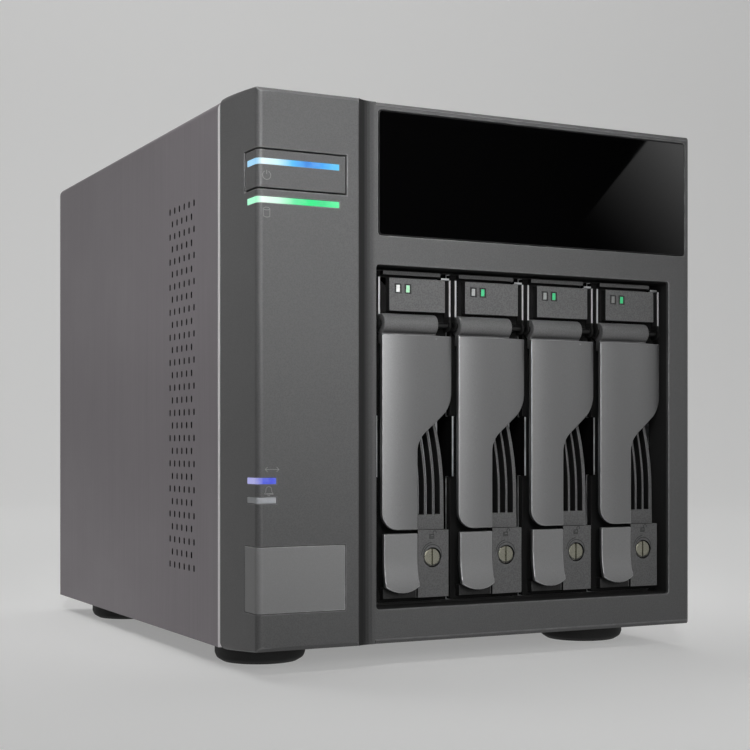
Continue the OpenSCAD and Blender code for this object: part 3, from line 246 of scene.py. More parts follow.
def place_parts(tree):
    """The three object coordinates."""
    return parts_of(tree, place(tree))


def facing(tree):
    """The three parts of the surface's direction."""
    return parts_of(tree, put(tree, "ShaderNodeNewGeometry").outputs["Normal"])


def within(tree, value, low, high):
    """1 where a value lies between two ends."""
    off = sums(tree, "ABSOLUTE", sums(tree, "SUBTRACT", value, (low + high) / 2))
    return sums(tree, "LESS_THAN", off, (high - low) / 2)


def speckle(tree, vector, scale, detail=2.0, roughness=0.5, distortion=0.0):
    """A noise texture's value."""
    inputs = {"Vector": vector, "Scale": scale, "Detail": detail, "Roughness": roughness,
              "Distortion": distortion}
    return put(tree, "ShaderNodeTexNoise", inputs).outputs[0]


def shade_group(name, inputs, outputs):
    """A shader node group with named float sockets, and the sockets that come in."""
    tree = bpy.data.node_groups.new(name, "ShaderNodeTree")
    for label, value in inputs:
        socket = tree.interface.new_socket(label, in_out="INPUT", socket_type="NodeSocketFloat")
        socket.default_value = value
    for label in outputs:
        tree.interface.new_socket(label, in_out="OUTPUT", socket_type="NodeSocketFloat")
    return tree, put(tree, "NodeGroupInput").outputs


def moulded_grain_group():
    """The fine spark-eroded texture of moulded plastic."""
    tree, given = shade_group("moulded_grain", [("Scale", 2400.0)], ["Height", "Shade"])
    where = place(tree)
    coarse = put(tree, "ShaderNodeTexVoronoi", {"Vector": where, "Scale": given[0]}).outputs[0]
    fine = speckle(tree, where, times(tree, given[0], 1.7), 3.0, 0.6)
    height = blend(tree, coarse, 0.6, fine, 0.4)
    mottle = speckle(tree, where, 38.0, 3.0, 0.55)
    put(tree, "NodeGroupOutput", {"Height": height, "Shade": blend(tree, height, 0.88, mottle, 0.12)})
    return tree


def hairline_group():
    """Brush lines that run round the cover, up its sides and across its top."""
    tree, given = shade_group("hairlines", [("Lines", 2600.0), ("Length", 14.0)], ["Streak", "Height"])
    across = put(tree, "ShaderNodeCombineXYZ", {0: given[1], 1: given[0], 2: given[1]}).outputs[0]
    where = vectors(tree, "MULTIPLY", place(tree), across)[0]
    fine = speckle(tree, where, 1.0, 2.0, 0.65)
    broad = vectors(tree, "MULTIPLY", where, (0.5, 0.09, 0.5))[0]
    bands = speckle(tree, broad, 1.0, 3.0, 0.6)
    put(tree, "NodeGroupOutput", {"Streak": blend(tree, fine, 0.72, bands, 0.28), "Height": fine})
    return tree


def handling_group():
    """Broad faint marks left by hands and cloths."""
    tree, given = shade_group("handling", [("Scale", 30.0)], ["Smudge"])
    where = place(tree)
    broad = speckle(tree, where, given[0], 4.0, 0.6, 0.8)
    small = speckle(tree, where, times(tree, given[0], 6.0), 2.0, 0.5)
    smudge = times(tree, spread(tree, broad, 0.4, 0.7), spread(tree, small, 0.2, 0.7, 0.5, 1.0))
    put(tree, "NodeGroupOutput", {"Smudge": smudge})
    return tree


def edge_wear_group():
    """Broken rubbing along the edges that carry the mesh's edge attribute, which also lays a painted
    highlight along them.
    """
    tree, given = shade_group("edge_wear", [("Edge", 0.0), ("Scale", 260.0)], ["Wear"])
    rubbed_and_highlit = speckle(tree, place(tree), given[1], 4.0, 0.65)
    put(tree, "NodeGroupOutput", {"Wear": times(tree, given[0], spread(tree, rubbed_and_highlit, 0.42, 0.68, 0.45, 1.0))})
    return tree


def spangle_group():
    """The crystal patches of zinc plating."""
    tree, given = shade_group("spangle", [("Scale", 420.0)], ["Facet", "Height"])
    where = place(tree)
    cells = put(tree, "ShaderNodeTexVoronoi", {"Vector": where, "Scale": given[0]})
    facet = put(tree, "ShaderNodeSeparateColor", {0: cells.outputs["Color"]}).outputs[0]
    scratch = speckle(tree, where, times(tree, given[0], 5.0), 2.0, 0.6)
    height = sums(tree, "ADD", times(tree, facet, 0.3), scratch)
    put(tree, "NodeGroupOutput", {"Facet": facet, "Height": height})
    return tree


def settled_dust_group():
    """Dust that settles on faces that look up."""
    tree, given = shade_group("settled_dust", [("Amount", 0.2)], ["Dust"])
    up = spread(tree, facing(tree)[2], 0.6, 1.0)
    patch = speckle(tree, place(tree), 900.0, 4.0, 0.7)
    dust = times(tree, times(tree, up, spread(tree, patch, 0.4, 0.75)), given[0])
    put(tree, "NodeGroupOutput", {"Dust": dust})
    return tree


GROUP_MAKERS = {
    "moulded_grain": moulded_grain_group,
    "hairlines": hairline_group,
    "handling": handling_group,
    "edge_wear": edge_wear_group,
    "spangle": spangle_group,
    "settled_dust": settled_dust_group,
}


def effect(tree, name, **values):
    """Places a shared effect in a material; values are its inputs by name."""
    group = bpy.data.node_groups.get(name) or GROUP_MAKERS[name]()
    return put(tree, "ShaderNodeGroup", values, node_tree=group)


def rubbed_and_highlit(tree, plain, wear_and_highlight, shade):
    """A colour that gives way to a lighter one along the edges that the mesh marks as rounded: partly wear,
    partly a painted highlight.
    """
    mark = put(tree, "ShaderNodeAttribute", attribute_name=EDGE_MARK).outputs["Fac"]
    worn_and_highlit = effect(tree, "edge_wear", Edge=mark).outputs[0]
    return tint(tree, times(tree, worn_and_highlit, wear_and_highlight), plain, shade)


def smudges(tree, scale):
    """Handling marks of a given scale."""
    return effect(tree, "handling", Scale=scale).outputs[0]


def dust_on(tree, amount):
    """A given amount of settled dust."""
    return effect(tree, "settled_dust", Amount=amount).outputs[0]


# Finishes

def finish(name, roughness=0.5, metallic=0.0, **fixed):
    """Starts a material; fixed holds the constant sockets of its shader."""
    made = bpy.data.materials.new(name)
    made.use_nodes = True
    shader = made.node_tree.nodes["Principled BSDF"]
    shader.inputs["Roughness"].default_value = roughness
    shader.inputs["Metallic"].default_value = metallic
    for key, value in fixed.items():
        shader.inputs[key.replace("_", " ")].default_value = value
    return made, made.node_tree, shader


def join(tree, shader, socket, value):
    """Feeds a shader's socket."""
    tree.links.new(value, shader.inputs[socket])


def relief(tree, shader, height, strength, depth):
    """Feeds a shader's normal from a height in metres."""
    bump = put(tree, "ShaderNodeBump", {"Strength": strength, "Distance": depth, "Height": height})
    join(tree, shader, "Normal", bump.outputs[0])


def scaled(base, factor):
    """A colour made lighter or darker."""
    return tuple(min(1.0, part * factor) for part in base)


def mottled(tree, value, low, high, base, darker, lighter):
    """A colour that varies with a value."""
    return tint(tree, spread(tree, value, low, high), scaled(base, darker), scaled(base, lighter))


def darkened(made, mask, shade):
    """Lays a matt painted shade over a material where the mask is 1."""
    tree = made.node_tree
    shader = tree.nodes["Principled BSDF"]
    plain = shader.inputs["Base Color"].links[0].from_socket
    join(tree, shader, "Base Color", tint(tree, mask, plain, shade))
    gloss = shader.inputs["Roughness"].links[0].from_socket
    join(tree, shader, "Roughness", put(tree, "ShaderNodeMix", {0: mask, 2: gloss, 3: 0.9}).outputs[0])
    return made


def moulded(name, base, roughness=0.5, depth=0.02, scale=2400.0, wear_and_highlight=0.5, contrast=0.14,
            dust=0.12, **fixed):
    """Textured plastic: grain, mottled shade, rubbed edges that also carry a painted highlight, faint
    handling and dust.
    """
    made, tree, shader = finish(name, roughness, **fixed)
    grain = effect(tree, "moulded_grain", Scale=scale)
    plain = mottled(tree, grain.outputs["Shade"], 0.3, 0.6, base, 1 - contrast, 1 + contrast)
    worn_and_highlit = rubbed_and_highlit(tree, plain, wear_and_highlight, scaled(base, 2.8))
    join(tree, shader, "Base Color", tint(tree, dust_on(tree, dust), worn_and_highlit, DUST))
    join(tree, shader, "Roughness", spread(tree, smudges(tree, 26.0), 0.0, 1.0, roughness, roughness - 0.025))
    relief(tree, shader, grain.outputs["Height"], 0.35, depth * MM)
    return made


def bezel_plastic(base, painted_shade, scale):
    """The front's textured plastic, with painted shade: near black inside the bay opening and dark in the
    column's hollow.
    """
    # The strong edge rubbing here paints the bright highlight along the front's edges.
    made = moulded("bezel_plastic", base, roughness=0.46, scale=scale, wear_and_highlight=0.8)
    tree = made.node_tree
    where = place_parts(tree)
    inner = spread(tree, where[1], BAY_FACE_Y + 0.8 * MM, BAY_FACE_Y + 1.6 * MM)
    margin = 0.5 * MM
    for axis, low, high in zip((0, 2), BAY_LOW, BAY_HIGH):
        inner = times(tree, inner, within(tree, where[axis], low - margin, high + margin))
    # Painted shade in the column's hollow, on faces that turn to the right.
    cove = spread(tree, facing(tree)[0], 0.02, 0.5, 0.0, 0.97)
    cove = times(tree, cove, within(tree, where[0], *COVE_X))
    return darkened(made, sums(tree, "MAXIMUM", inner, cove), painted_shade)


def brushed_cover(base, painted_shade, lines):
    """Anodised metal brushed round the cover: bright cut metal on its front edge, partly a painted highlight,
    and painted shade inside its slots.
    """
    made, tree, shader = finish("brushed_cover", 0.42, 0.7, Anisotropic=0.6, Anisotropic_Rotation=0.25)
    brush = effect(tree, "hairlines", Lines=lines)
    shade = spread(tree, brush.outputs["Streak"], 0.35, 0.65)
    streaked = tint(tree, shade, scaled(base, 0.88), scaled(base, 1.13))
    dusty = tint(tree, dust_on(tree, 0.10), streaked, DUST)
    low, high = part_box("outer_cover")
    where = place_parts(tree)
    turned = facing(tree)
    # Bright colour on the cut front edge: cut metal, and partly a painted highlight.
    cut = times(tree, sums(tree, "LESS_THAN", where[1], low.y + 0.9 * MM),
                sums(tree, "LESS_THAN", turned[1], -0.3))
    join(tree, shader, "Base Color", tint(tree, cut, dusty, (0.82, 0.80, 0.81)))
    gloss = blend(tree, spread(tree, shade, 0.0, 1.0, 0.38, 0.46), 1.0, smudges(tree, 14.0), -0.06)
    join(tree, shader, "Roughness", gloss)
    tangent = put(tree, "ShaderNodeTangent", direction_type="RADIAL", axis="Y")
    join(tree, shader, "Tangent", tangent.outputs[0])
    relief(tree, shader, brush.outputs["Height"], 0.12, 0.02 * MM)
    # Painted shade on the walls of the slots.
    slot = sums(tree, "LESS_THAN", sums(tree, "ABSOLUTE", turned[0]), 0.6)
    for axis, margin in ((1, 6 * MM), (2, 12 * MM)):
        inside = within(tree, where[axis], low[axis] + margin, high[axis] - margin)
        slot = times(tree, slot, inside)
    return darkened(made, slot, painted_shade)


def gloss_window(base):
    """Polished black front with the faintest handling marks."""
    made, tree, shader = finish("gloss_window", 0.02, Specular_IOR_Level=0.35)
    # Lighter rounded edges: partly wear, partly a painted highlight.
    join(tree, shader, "Base Color", rubbed_and_highlit(tree, base, 0.5, (0.05,) * 3))
    join(tree, shader, "Roughness", spread(tree, smudges(tree, 22.0), 0.0, 1.0, 0.015, 0.03))
    return made


def metallic_paint(name, base, roughness):
    """Smooth paint with fine metal flake, rubbed at the edges, which also carries a painted highlight there.
    """
    made, tree, shader = finish(name, roughness, 0.75)
    flake = speckle(tree, place(tree), 5200.0, 1.0, 0.5)
    plain = mottled(tree, flake, 0.35, 0.65, base, 0.93, 1.08)
    join(tree, shader, "Base Color", rubbed_and_highlit(tree, plain, 0.45, scaled(base, 2.2)))
    join(tree, shader, "Roughness", spread(tree, smudges(tree, 48.0), 0.0, 1.0, roughness, roughness - 0.02))
    relief(tree, shader, flake, 0.04, 0.01 * MM)
    return made


def zinc_sheet(name, base):
    """Plated sheet metal with crystal patches and fine scratches."""
    made, tree, shader = finish(name, 0.38, 0.9)
    zinc = effect(tree, "spangle")
    facet = zinc.outputs["Facet"]
    shade = tint(tree, facet, scaled(base, 0.82), scaled(base, 1.08))
    dirt = times(tree, smudges(tree, 36.0), 0.25)
    join(tree, shader, "Base Color", tint(tree, dirt, shade, scaled(base, 0.7)))
    join(tree, shader, "Roughness", spread(tree, facet, 0.0, 1.0, 0.32, 0.46))
    relief(tree, shader, zinc.outputs["Height"], 0.12, 0.02 * MM)
    return made


def lit_lens(name, stops, start, end, strength):
    """A light bar whose colour changes along X from start to end, in metres."""
    made, tree, shader = finish(name, 0.28, Emission_Strength=strength)
    shaded = 1.0 if strength == 0.0 else 0.06
    glow = ramp(tree, spread(tree, place_parts(tree)[0], start, end), stops)
    haze = speckle(tree, place(tree), 700.0, 2.0, 0.5)
    cloudy = tint(tree, spread(tree, haze, 0.4, 0.7, 0.0, 0.10), glow, (0.7, 0.75, 0.8))
    join(tree, shader, "Base Color", tint(tree, shaded, (0.02,) * 3, cloudy))
    join(tree, shader, "Emission Color", cloudy)
    relief(tree, shader, haze, 0.08, 0.02 * MM)
    return made


def bay_step(tree, first_x, pitch):
    """How far a point lies from the left edge of its own tray."""
    along = sums(tree, "SUBTRACT", place_parts(tree)[0], first_x)
    return put(tree, "ShaderNodeMath", {0: along, 1: pitch, 2: 0.0}, operation="WRAP").outputs[0]


def tray_moulding(base, painted_shade, cheek, edge_y, first_x, pitch, width, cheek_z):
    """Textured plastic, bare on the edges of its cheeks, with painted shade: near black on its side walls and
    behind edge_y, and dark on the ledge under the release tab.
    """
    made = moulded("tray_moulding", base, roughness=0.48, depth=0.03, scale=2000.0, wear_and_highlight=0.3,
                   contrast=0.2, Specular_IOR_Level=0.25)
    tree = made.node_tree
    shader = tree.nodes["Principled BSDF"]
    where = place_parts(tree)
    turned = spread(tree, facing(tree)[1], -0.85, -0.45, 0.0, 0.97)
    deep = spread(tree, where[1], edge_y - 0.2 * MM, edge_y + 0.2 * MM)
    step = bay_step(tree, first_x, pitch)
    from_middle = sums(tree, "ABSOLUTE", sums(tree, "SUBTRACT", step, width / 2))
    side = sums(tree, "GREATER_THAN", from_middle, width / 2 - 0.85 * MM)
    above = sums(tree, "GREATER_THAN", where[2], cheek_z)
    plain = shader.inputs["Base Color"].links[0].from_socket
    join(tree, shader, "Base Color", tint(tree, times(tree, side, above), plain, cheek))
    hidden = times(tree, side, sums(tree, "SUBTRACT", 1.0, above))
    dark = sums(tree, "MAXIMUM", sums(tree, "MAXIMUM", turned, deep), hidden)
    # Painted shadow on the ledge under the release tab.
    ledge = times(tree, sums(tree, "LESS_THAN", step, LEDGE_X), sums(tree, "LESS_THAN", where[2], LEDGE_Z))
    return darkened(made, sums(tree, "MAXIMUM", dark, times(tree, ledge, 0.75)), painted_shade)


def tray_zinc(base, painted_shade, edge_y):
    """Plated sheet with painted shade: dark on the side walls that stand in front of edge_y."""
    made = zinc_sheet("tray_zinc", base)
    tree = made.node_tree
    sideways = sums(tree, "GREATER_THAN", sums(tree, "ABSOLUTE", facing(tree)[0]), 0.6)
    ahead = sums(tree, "LESS_THAN", place_parts(tree)[1], edge_y)
    return darkened(made, times(tree, sideways, ahead), painted_shade)


def handle_paint(paint_colour, barrel_colour, split_z):
    """Metallic paint on the grip, textured plastic on the barrel above split_z."""
    made = metallic_paint("handle_paint", paint_colour, 0.38)
    tree = made.node_tree
    shader = tree.nodes["Principled BSDF"]
    barrel = spread(tree, place_parts(tree)[2], split_z - 0.1 * MM, split_z + 0.1 * MM)
    grain = effect(tree, "moulded_grain", Scale=2200.0)
    rough = mottled(tree, grain.outputs["Shade"], 0.3, 0.6, barrel_colour, 0.85, 1.15)
    paint = shader.inputs["Base Color"].links[0].from_socket
    join(tree, shader, "Base Color", tint(tree, barrel, paint, rough))
    smooth = shader.inputs["Roughness"].links[0].from_socket
    gloss = put(tree, "ShaderNodeMix", {0: barrel, 2: smooth, 3: 0.5}).outputs[0]
    join(tree, shader, "Roughness", gloss)
    join(tree, shader, "Metallic", spread(tree, barrel, 0.0, 1.0, 0.75, 0.0))
    relief(tree, shader, times(tree, grain.outputs["Height"], barrel), 0.35, 0.025 * MM)
    return made


def board_finish(base):
    """Solder mask over copper tracks."""
    made, tree, shader = finish("circuit_board", 0.34)
    where = place(tree)
    upright = put(tree, "ShaderNodeMapping", {0: where, 2: (0.0, 1.5708, 0.0)}).outputs[0]
    tracks = put(tree, "ShaderNodeTexBrick", {"Vector": upright, "Scale": 260.0, "Mortar Size": 0.03,
                                              "Color1": (*BLACK, 1), "Color2": (*BLACK, 1),
                                              "Mortar": (*WHITE, 1)}).outputs[1]
    pads = put(tree, "ShaderNodeTexVoronoi", {"Vector": where, "Scale": 320.0}).outputs[0]
    drilled = spread(tree, pads, 0.08, 0.14, 1.0, 0.0)
    green = tint(tree, tracks, base, scaled(base, 1.8))
    join(tree, shader, "Base Color", tint(tree, drilled, green, (0.55, 0.45, 0.25)))
    relief(tree, shader, tracks, 0.2, 0.03 * MM)
    return made


def cast_alloy(name, base):
    """Die-cast metal with a fine skin."""
    made, tree, shader = finish(name, 0.42, 0.85)
    grain = effect(tree, "moulded_grain", Scale=1500.0)
    skin = grain.outputs["Shade"]
    shade = tint(tree, skin, scaled(base, 0.8), scaled(base, 1.12))
    dirt = times(tree, smudges(tree, 40.0), 0.3)
    join(tree, shader, "Base Color", tint(tree, dirt, shade, scaled(base, 0.7)))
    join(tree, shader, "Roughness", spread(tree, skin, 0.2, 0.8, 0.34, 0.52))
    relief(tree, shader, grain.outputs["Height"], 0.25, 0.03 * MM)
    return made


def bright_metal(name, base, roughness):
    """Turned or drawn metal with fine scratches."""
    made, tree, shader = finish(name, roughness, 1.0)
    scratch = speckle(tree, place(tree), 2600.0, 3.0, 0.65)
    shade = mottled(tree, scratch, 0.3, 0.7, base, 0.85, 1.1)
    # Lighter rounded edges: partly wear, partly a painted highlight.
    join(tree, shader, "Base Color", rubbed_and_highlit(tree, shade, 0.4, scaled(base, 1.25)))
    join(tree, shader, "Roughness", spread(tree, scratch, 0.3, 0.7, roughness - 0.06, roughness + 0.1))
    relief(tree, shader, scratch, 0.08, 0.01 * MM)
    return made


LAMP_SHADES = (
    ((0.95, 0.96, 0.96), (0.42, 0.43, 0.43), (0.27, 0.28, 0.28), (0.16, 0.16, 0.16)),
    ((0.50, 0.95, 0.62), (0.05, 0.62, 0.26), (0.03, 0.55, 0.21), (0.02, 0.50, 0.18)),
)


def tray_lamp(first_x, pitch, middle):
    """Two small windows a tray: the left one white, the right one green, each tray at its own level."""
    made, tree, shader = finish("tray_lamp", 0.3, Emission_Strength=1.0)
    shader.inputs["Base Color"].default_value = (0.03, 0.03, 0.03, 1.0)
    count = len(BAYS)
    along = spread(tree, place_parts(tree)[0], first_x, first_x + count * pitch)
    lit = [ramp(tree, along, [(index / count, shown) for index, shown in enumerate(shades)], "CONSTANT")
           for shades in LAMP_SHADES]
    right = sums(tree, "GREATER_THAN", bay_step(tree, first_x, pitch), middle)
    haze = spread(tree, speckle(tree, place(tree), 1500.0, 2.0, 0.5), 0.3, 0.7, 0.0, 0.25)
    join(tree, shader, "Emission Color", tint(tree, haze, tint(tree, right, *lit), (0.02, 0.03, 0.02)))
    return made


def ink_finish(name, base):
    """Thin print, slightly uneven."""
    made, tree, shader = finish(name, 0.5)
    patch = speckle(tree, place(tree), 3000.0, 2.0, 0.6)
    join(tree, shader, "Base Color", tint(tree, patch, scaled(base, 0.8), scaled(base, 1.15)))
    return made


# Meshes

def as_mesh(name, skin):
    """A mesh made of a skin, which is freed."""
    mesh = bpy.data.meshes.new(name)
    skin.to_mesh(mesh)
    skin.free()
    return mesh


def piece(name, mesh, material):
    """An object at the origin for a mesh, with one material."""
    mesh.materials.clear()
    mesh.materials.append(material)
    made = bpy.data.objects.new(name, mesh)
    bpy.context.scene.collection.objects.link(made)
    return made


def stand_for(made, node):
    """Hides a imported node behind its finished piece."""
    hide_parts(node)
    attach(made, NODES[node]["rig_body"])


def even_normals(skin, mark):
    """A normal for every face corner: flats stay flat, and a rounded edge runs from one flat to the next."""
    near = math.cos(math.radians(25.0))
    areas = [face.calc_area() for face in skin.faces]
    skin.faces.index_update()
    normals = []
    for face in skin.faces:
        for corner in face.loops:
            around = corner.vert.link_faces
            flats = [other for other in around if other[mark] < 0.5]
            if flats:
                lead = face
                if face[mark] > 0.5:
                    lead = max(flats, key=lambda other: other.normal.dot(face.normal))
                around = [other for other in flats if other.normal.dot(lead.normal) > near]
            total = sum((other.normal * areas[other.index] for other in around), Vector())
            normals.append(total.normalized() if total.length > 1e-12 else face.normal.copy())
    return normals


def merged(node):
    """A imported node's mesh as one joined skin of large faces."""
    skin = bmesh.new()
    skin.from_mesh(NODES[node].data)
    bmesh.ops.remove_doubles(skin, verts=skin.verts, dist=2e-6)
    bmesh.ops.dissolve_limit(skin, angle_limit=math.radians(0.4), verts=skin.verts, edges=skin.edges)
    bmesh.ops.dissolve_degenerate(skin, dist=0.03 * MM, edges=skin.edges)
    return skin


def slice_up(skin, node, axis, steps):
    """Cuts a node's skin into even slices, so that its shading runs straight."""
    low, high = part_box(node)
    way = Vector((0.0, 0.0, 0.0))
    way[axis] = 1.0
    for step in range(1, steps):
        bmesh.ops.bisect_plane(skin, geom=skin.verts[:] + skin.edges[:] + skin.faces[:], dist=1e-6,
                               plane_co=low.lerp(high, step / steps), plane_no=way)


def recrown(skin, node, mark):
    """Cuts a handle into narrow strips and lays them on its true crown."""
    slice_up(skin, node, 0, 24)
    slice_up(skin, node, 2, 30)
    low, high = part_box(node)
    axis = Vector(((low.x + high.x) / 2 + CROWN_X, low.y + CROWN_R))
    for corner in skin.verts:
        arm = Vector((corner.co.x, corner.co.y)) - axis
        way = arm.normalized()
        crowned = corner.co.z < high.z - BARREL_D and any(
            face[mark] < 0.5 and abs(face.normal.xy.dot(way)) > 0.9 for face in corner.link_faces)
        for radius in (CROWN_R, CROWN_R - HANDLE_T):
            if crowned and abs(arm.length - radius) < 0.15 * MM:
                corner.co.xy = axis + way * radius
                break


def level_slices(skin, node, mark):
    """Cuts an upright piece into level slices."""
    slice_up(skin, node, 2, 40)


def sharp_edges(skin, width, sharp):
    """The edges to be rounded: sharp ones with room for the rounding at both ends."""
    wanted = {edge for edge in skin.edges
              if edge.is_manifold and edge.calc_face_angle(0.0) > math.radians(sharp)}
    straight = math.cos(math.radians(40.0))

    def roomy(edge):
        for corner in edge.verts:
            along = (corner.co - edge.other_vert(corner).co).normalized()
            for other in corner.link_edges:
                onward = (other.other_vert(corner).co - corner.co).normalized()
                room = 2 * width if other in wanted else width
                if other is not edge and along.dot(onward) < straight and other.calc_length() < room:
                    return False
        return True

    return [edge for edge in skin.edges if edge in wanted and roomy(edge)]


def eased(node, name, material, width, steps=3, sharp=32.0, reshape=None):
    """A copy of a node with its edges rounded, standing for it."""
    skin = merged(node)
    mark = skin.faces.layers.float.new(EDGE_MARK)
    made = bmesh.ops.bevel(skin, geom=sharp_edges(skin, width, sharp), offset=width,
                           offset_type="OFFSET", segments=steps, profile=0.5, affect="EDGES",
                           clamp_overlap=False, loop_slide=True)
    for face in made["faces"]:
        face[mark] = 1.0
    low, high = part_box(node)
    for corner in skin.verts:
        for axis in range(3):
            corner.co[axis] = min(max(corner.co[axis], low[axis]), high[axis])
    bmesh.ops.recalc_face_normals(skin, faces=skin.faces)
    if reshape:
        reshape(skin, node, mark)
        skin.normal_update()
    normals = even_normals(skin, mark)
    for face in skin.faces:
        face.smooth = True
    mesh = as_mesh(name, skin)
    stale = mesh.attributes.get("custom_normal")
    if stale:
        mesh.attributes.remove(stale)
    mesh.normals_split_custom_set(normals)
    stand_for(piece(name, mesh, material), node)


def dress(material, *nodes):
    """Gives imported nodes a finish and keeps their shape."""
    for node in nodes:
        NODES[node].data.materials.clear()
        NODES[node].data.materials.append(material)


def arc(centre, radius, start, end, steps, squash=1.0):
    """Points of an arc, angles in degrees; squash flattens it."""
    turns = [math.radians(start + (end - start) * i / steps) for i in range(steps + 1)]
    return [(centre[0] + radius * math.cos(turn), centre[1] + radius * squash * math.sin(turn))
            for turn in turns]


def print_lines(skin, strokes, face_y, width, proud):
    """Adds lines to a face that looks to the front; strokes are (points in millimetres, closed)."""
    for points, closed in strokes:
        points = [Vector(point) * MM for point in points]
        count = len(points)
        rings = []
        for i, point in enumerate(points):
            before = points[i - 1] if closed or i else point
            after = points[(i + 1) % count] if closed or i < count - 1 else point
            along = (after - before).normalized()
            back = (point - before).normalized() if (point - before).length > 1e-9 else along
            side = Vector((-along.y, along.x)) * (width / 2) / max(0.35, along.dot(back))
            ring = []
            for offset, y in ((-1, face_y), (1, face_y), (1, face_y - proud), (-1, face_y - proud)):
                at = point + side * offset
                ring.append(skin.verts.new((at.x, y, at.y)))
            rings.append(ring)
        for i in range(count if closed else count - 1):
            one, two = rings[i], rings[(i + 1) % count]
            for k in range(4):
                skin.faces.new((one[k], one[(k + 1) % 4], two[(k + 1) % 4], two[k]))
        if not closed:
            skin.faces.new(rings[0])
            skin.faces.new(list(reversed(rings[-1])))


def printed(name, strokes, face_y, body, material, width, proud):
    """Printed lines as one piece that rides on a body."""
    skin = bmesh.new()
    print_lines(skin, strokes, face_y, width, proud)
    bmesh.ops.recalc_face_normals(skin, faces=skin.faces)
    made = piece(name, as_mesh(name, skin), material)
    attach(made, body)


def settings(context):
    """The scene's colours and sizes."""
    return context.scene.enclosure_colours, context.scene.enclosure_sizes


# Operators

class ENCLOSURE_OT_cover(Operator):
    """Finishes the outer cover, the chassis and the rubber feet"""
    bl_idname = "enclosure.cover"
    bl_label = "Cover, chassis and feet"

    def execute(self, context):
        colours, sizes = settings(context)
        dress(brushed_cover(colours.cover, colours.painted_shade, sizes.hairline), "outer_cover")
        powder = moulded("powder_coat", colours.powder, roughness=0.55, depth=0.03, scale=1800.0,
                         wear_and_highlight=0.2, dust=0.05)
        dress(powder, "base_plate", "rear_panel")
        rubber = moulded("rubber", colours.rubber, roughness=0.72, scale=1600.0, wear_and_highlight=0.3, contrast=0.25)
        eased("feet", "rubber_feet", rubber, sizes.foot_edge, sizes.edge_steps)
        return {"FINISHED"}


class ENCLOSURE_OT_front(Operator):
    """Finishes the moulded front, its window, button and lower plate"""
    bl_idname = "enclosure.front"
    bl_label = "Front"

    def execute(self, context):
        colours, sizes = settings(context)
        plastic = bezel_plastic(colours.bezel, colours.painted_shade, sizes.grain)
        steps = sizes.edge_steps
        eased("front_bezel", "bezel_shell", plastic, sizes.bezel_edge, steps, reshape=level_slices)
        eased("power_button", "power_key", plastic, sizes.fine_edge, steps)
        satin = moulded("satin_plate", colours.plate, roughness=0.4, depth=0.008, scale=3600.0,
                        wear_and_highlight=0.8, contrast=0.05)
        eased("blank_plate", "lower_plate", satin, sizes.fine_edge, steps)
        gloss = gloss_window(colours.window)
        eased("display_window", "window_pane", gloss, sizes.bezel_edge, steps)
        flagged("handle_softbox", "window_pane")
        return {"FINISHED"}


# Node, piece, slot, strength and colours along the bar of each light; its ends come first.
LENSES = (
    ("power_light_bar", "power_lens", "power_bar", 0.95,
     ((0.0, (0.28, 0.62, 0.90)), (1.0, (0.12, 0.62, 0.98)), (0.07, (0.80, 0.96, 1.00)),
      (0.24, (0.62, 0.92, 1.00)), (0.42, (0.08, 0.52, 0.98)), (0.60, (0.02, 0.22, 0.72)),
      (0.78, (0.03, 0.36, 0.90)))),
    ("disk_light_bar", "disk_lens", "disk_bar", 0.95,
     ((0.0, (0.36, 0.95, 0.60)), (1.0, (0.12, 0.94, 0.38)), (0.07, (0.86, 1.00, 0.92)),
      (0.26, (0.66, 1.00, 0.80)), (0.45, (0.10, 0.80, 0.34)), (0.65, (0.002, 0.78, 0.22)),
      (0.80, (0.02, 0.72, 0.24)))),
    ("link_light_bar", "link_lens", "link_bar", 0.75,
     ((0.0, (0.42, 0.42, 0.86)), (1.0, (0.10, 0.14, 0.88)), (0.35, (0.06, 0.10, 0.82)),
      (0.75, (0.05, 0.08, 0.80)))),
    ("alert_light_bar", "alert_lens", "alert_bar", 0.0,
     ((0.0, (0.36, 0.37, 0.39)), (1.0, (0.42, 0.43, 0.46)))),
)


class ENCLOSURE_OT_lenses(Operator):
    """Finishes the four light bars of the column"""
    bl_idname = "enclosure.lenses"
    bl_label = "Light bars"

    def execute(self, context):
        sizes = settings(context)[1]
        for node, name, slot, strength, stops in LENSES:
            low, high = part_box(node)
            material = lit_lens(name, stops, low.x, high.x, strength)
            eased(node, name, material, sizes.fine_edge, 2)
        return {"FINISHED"}


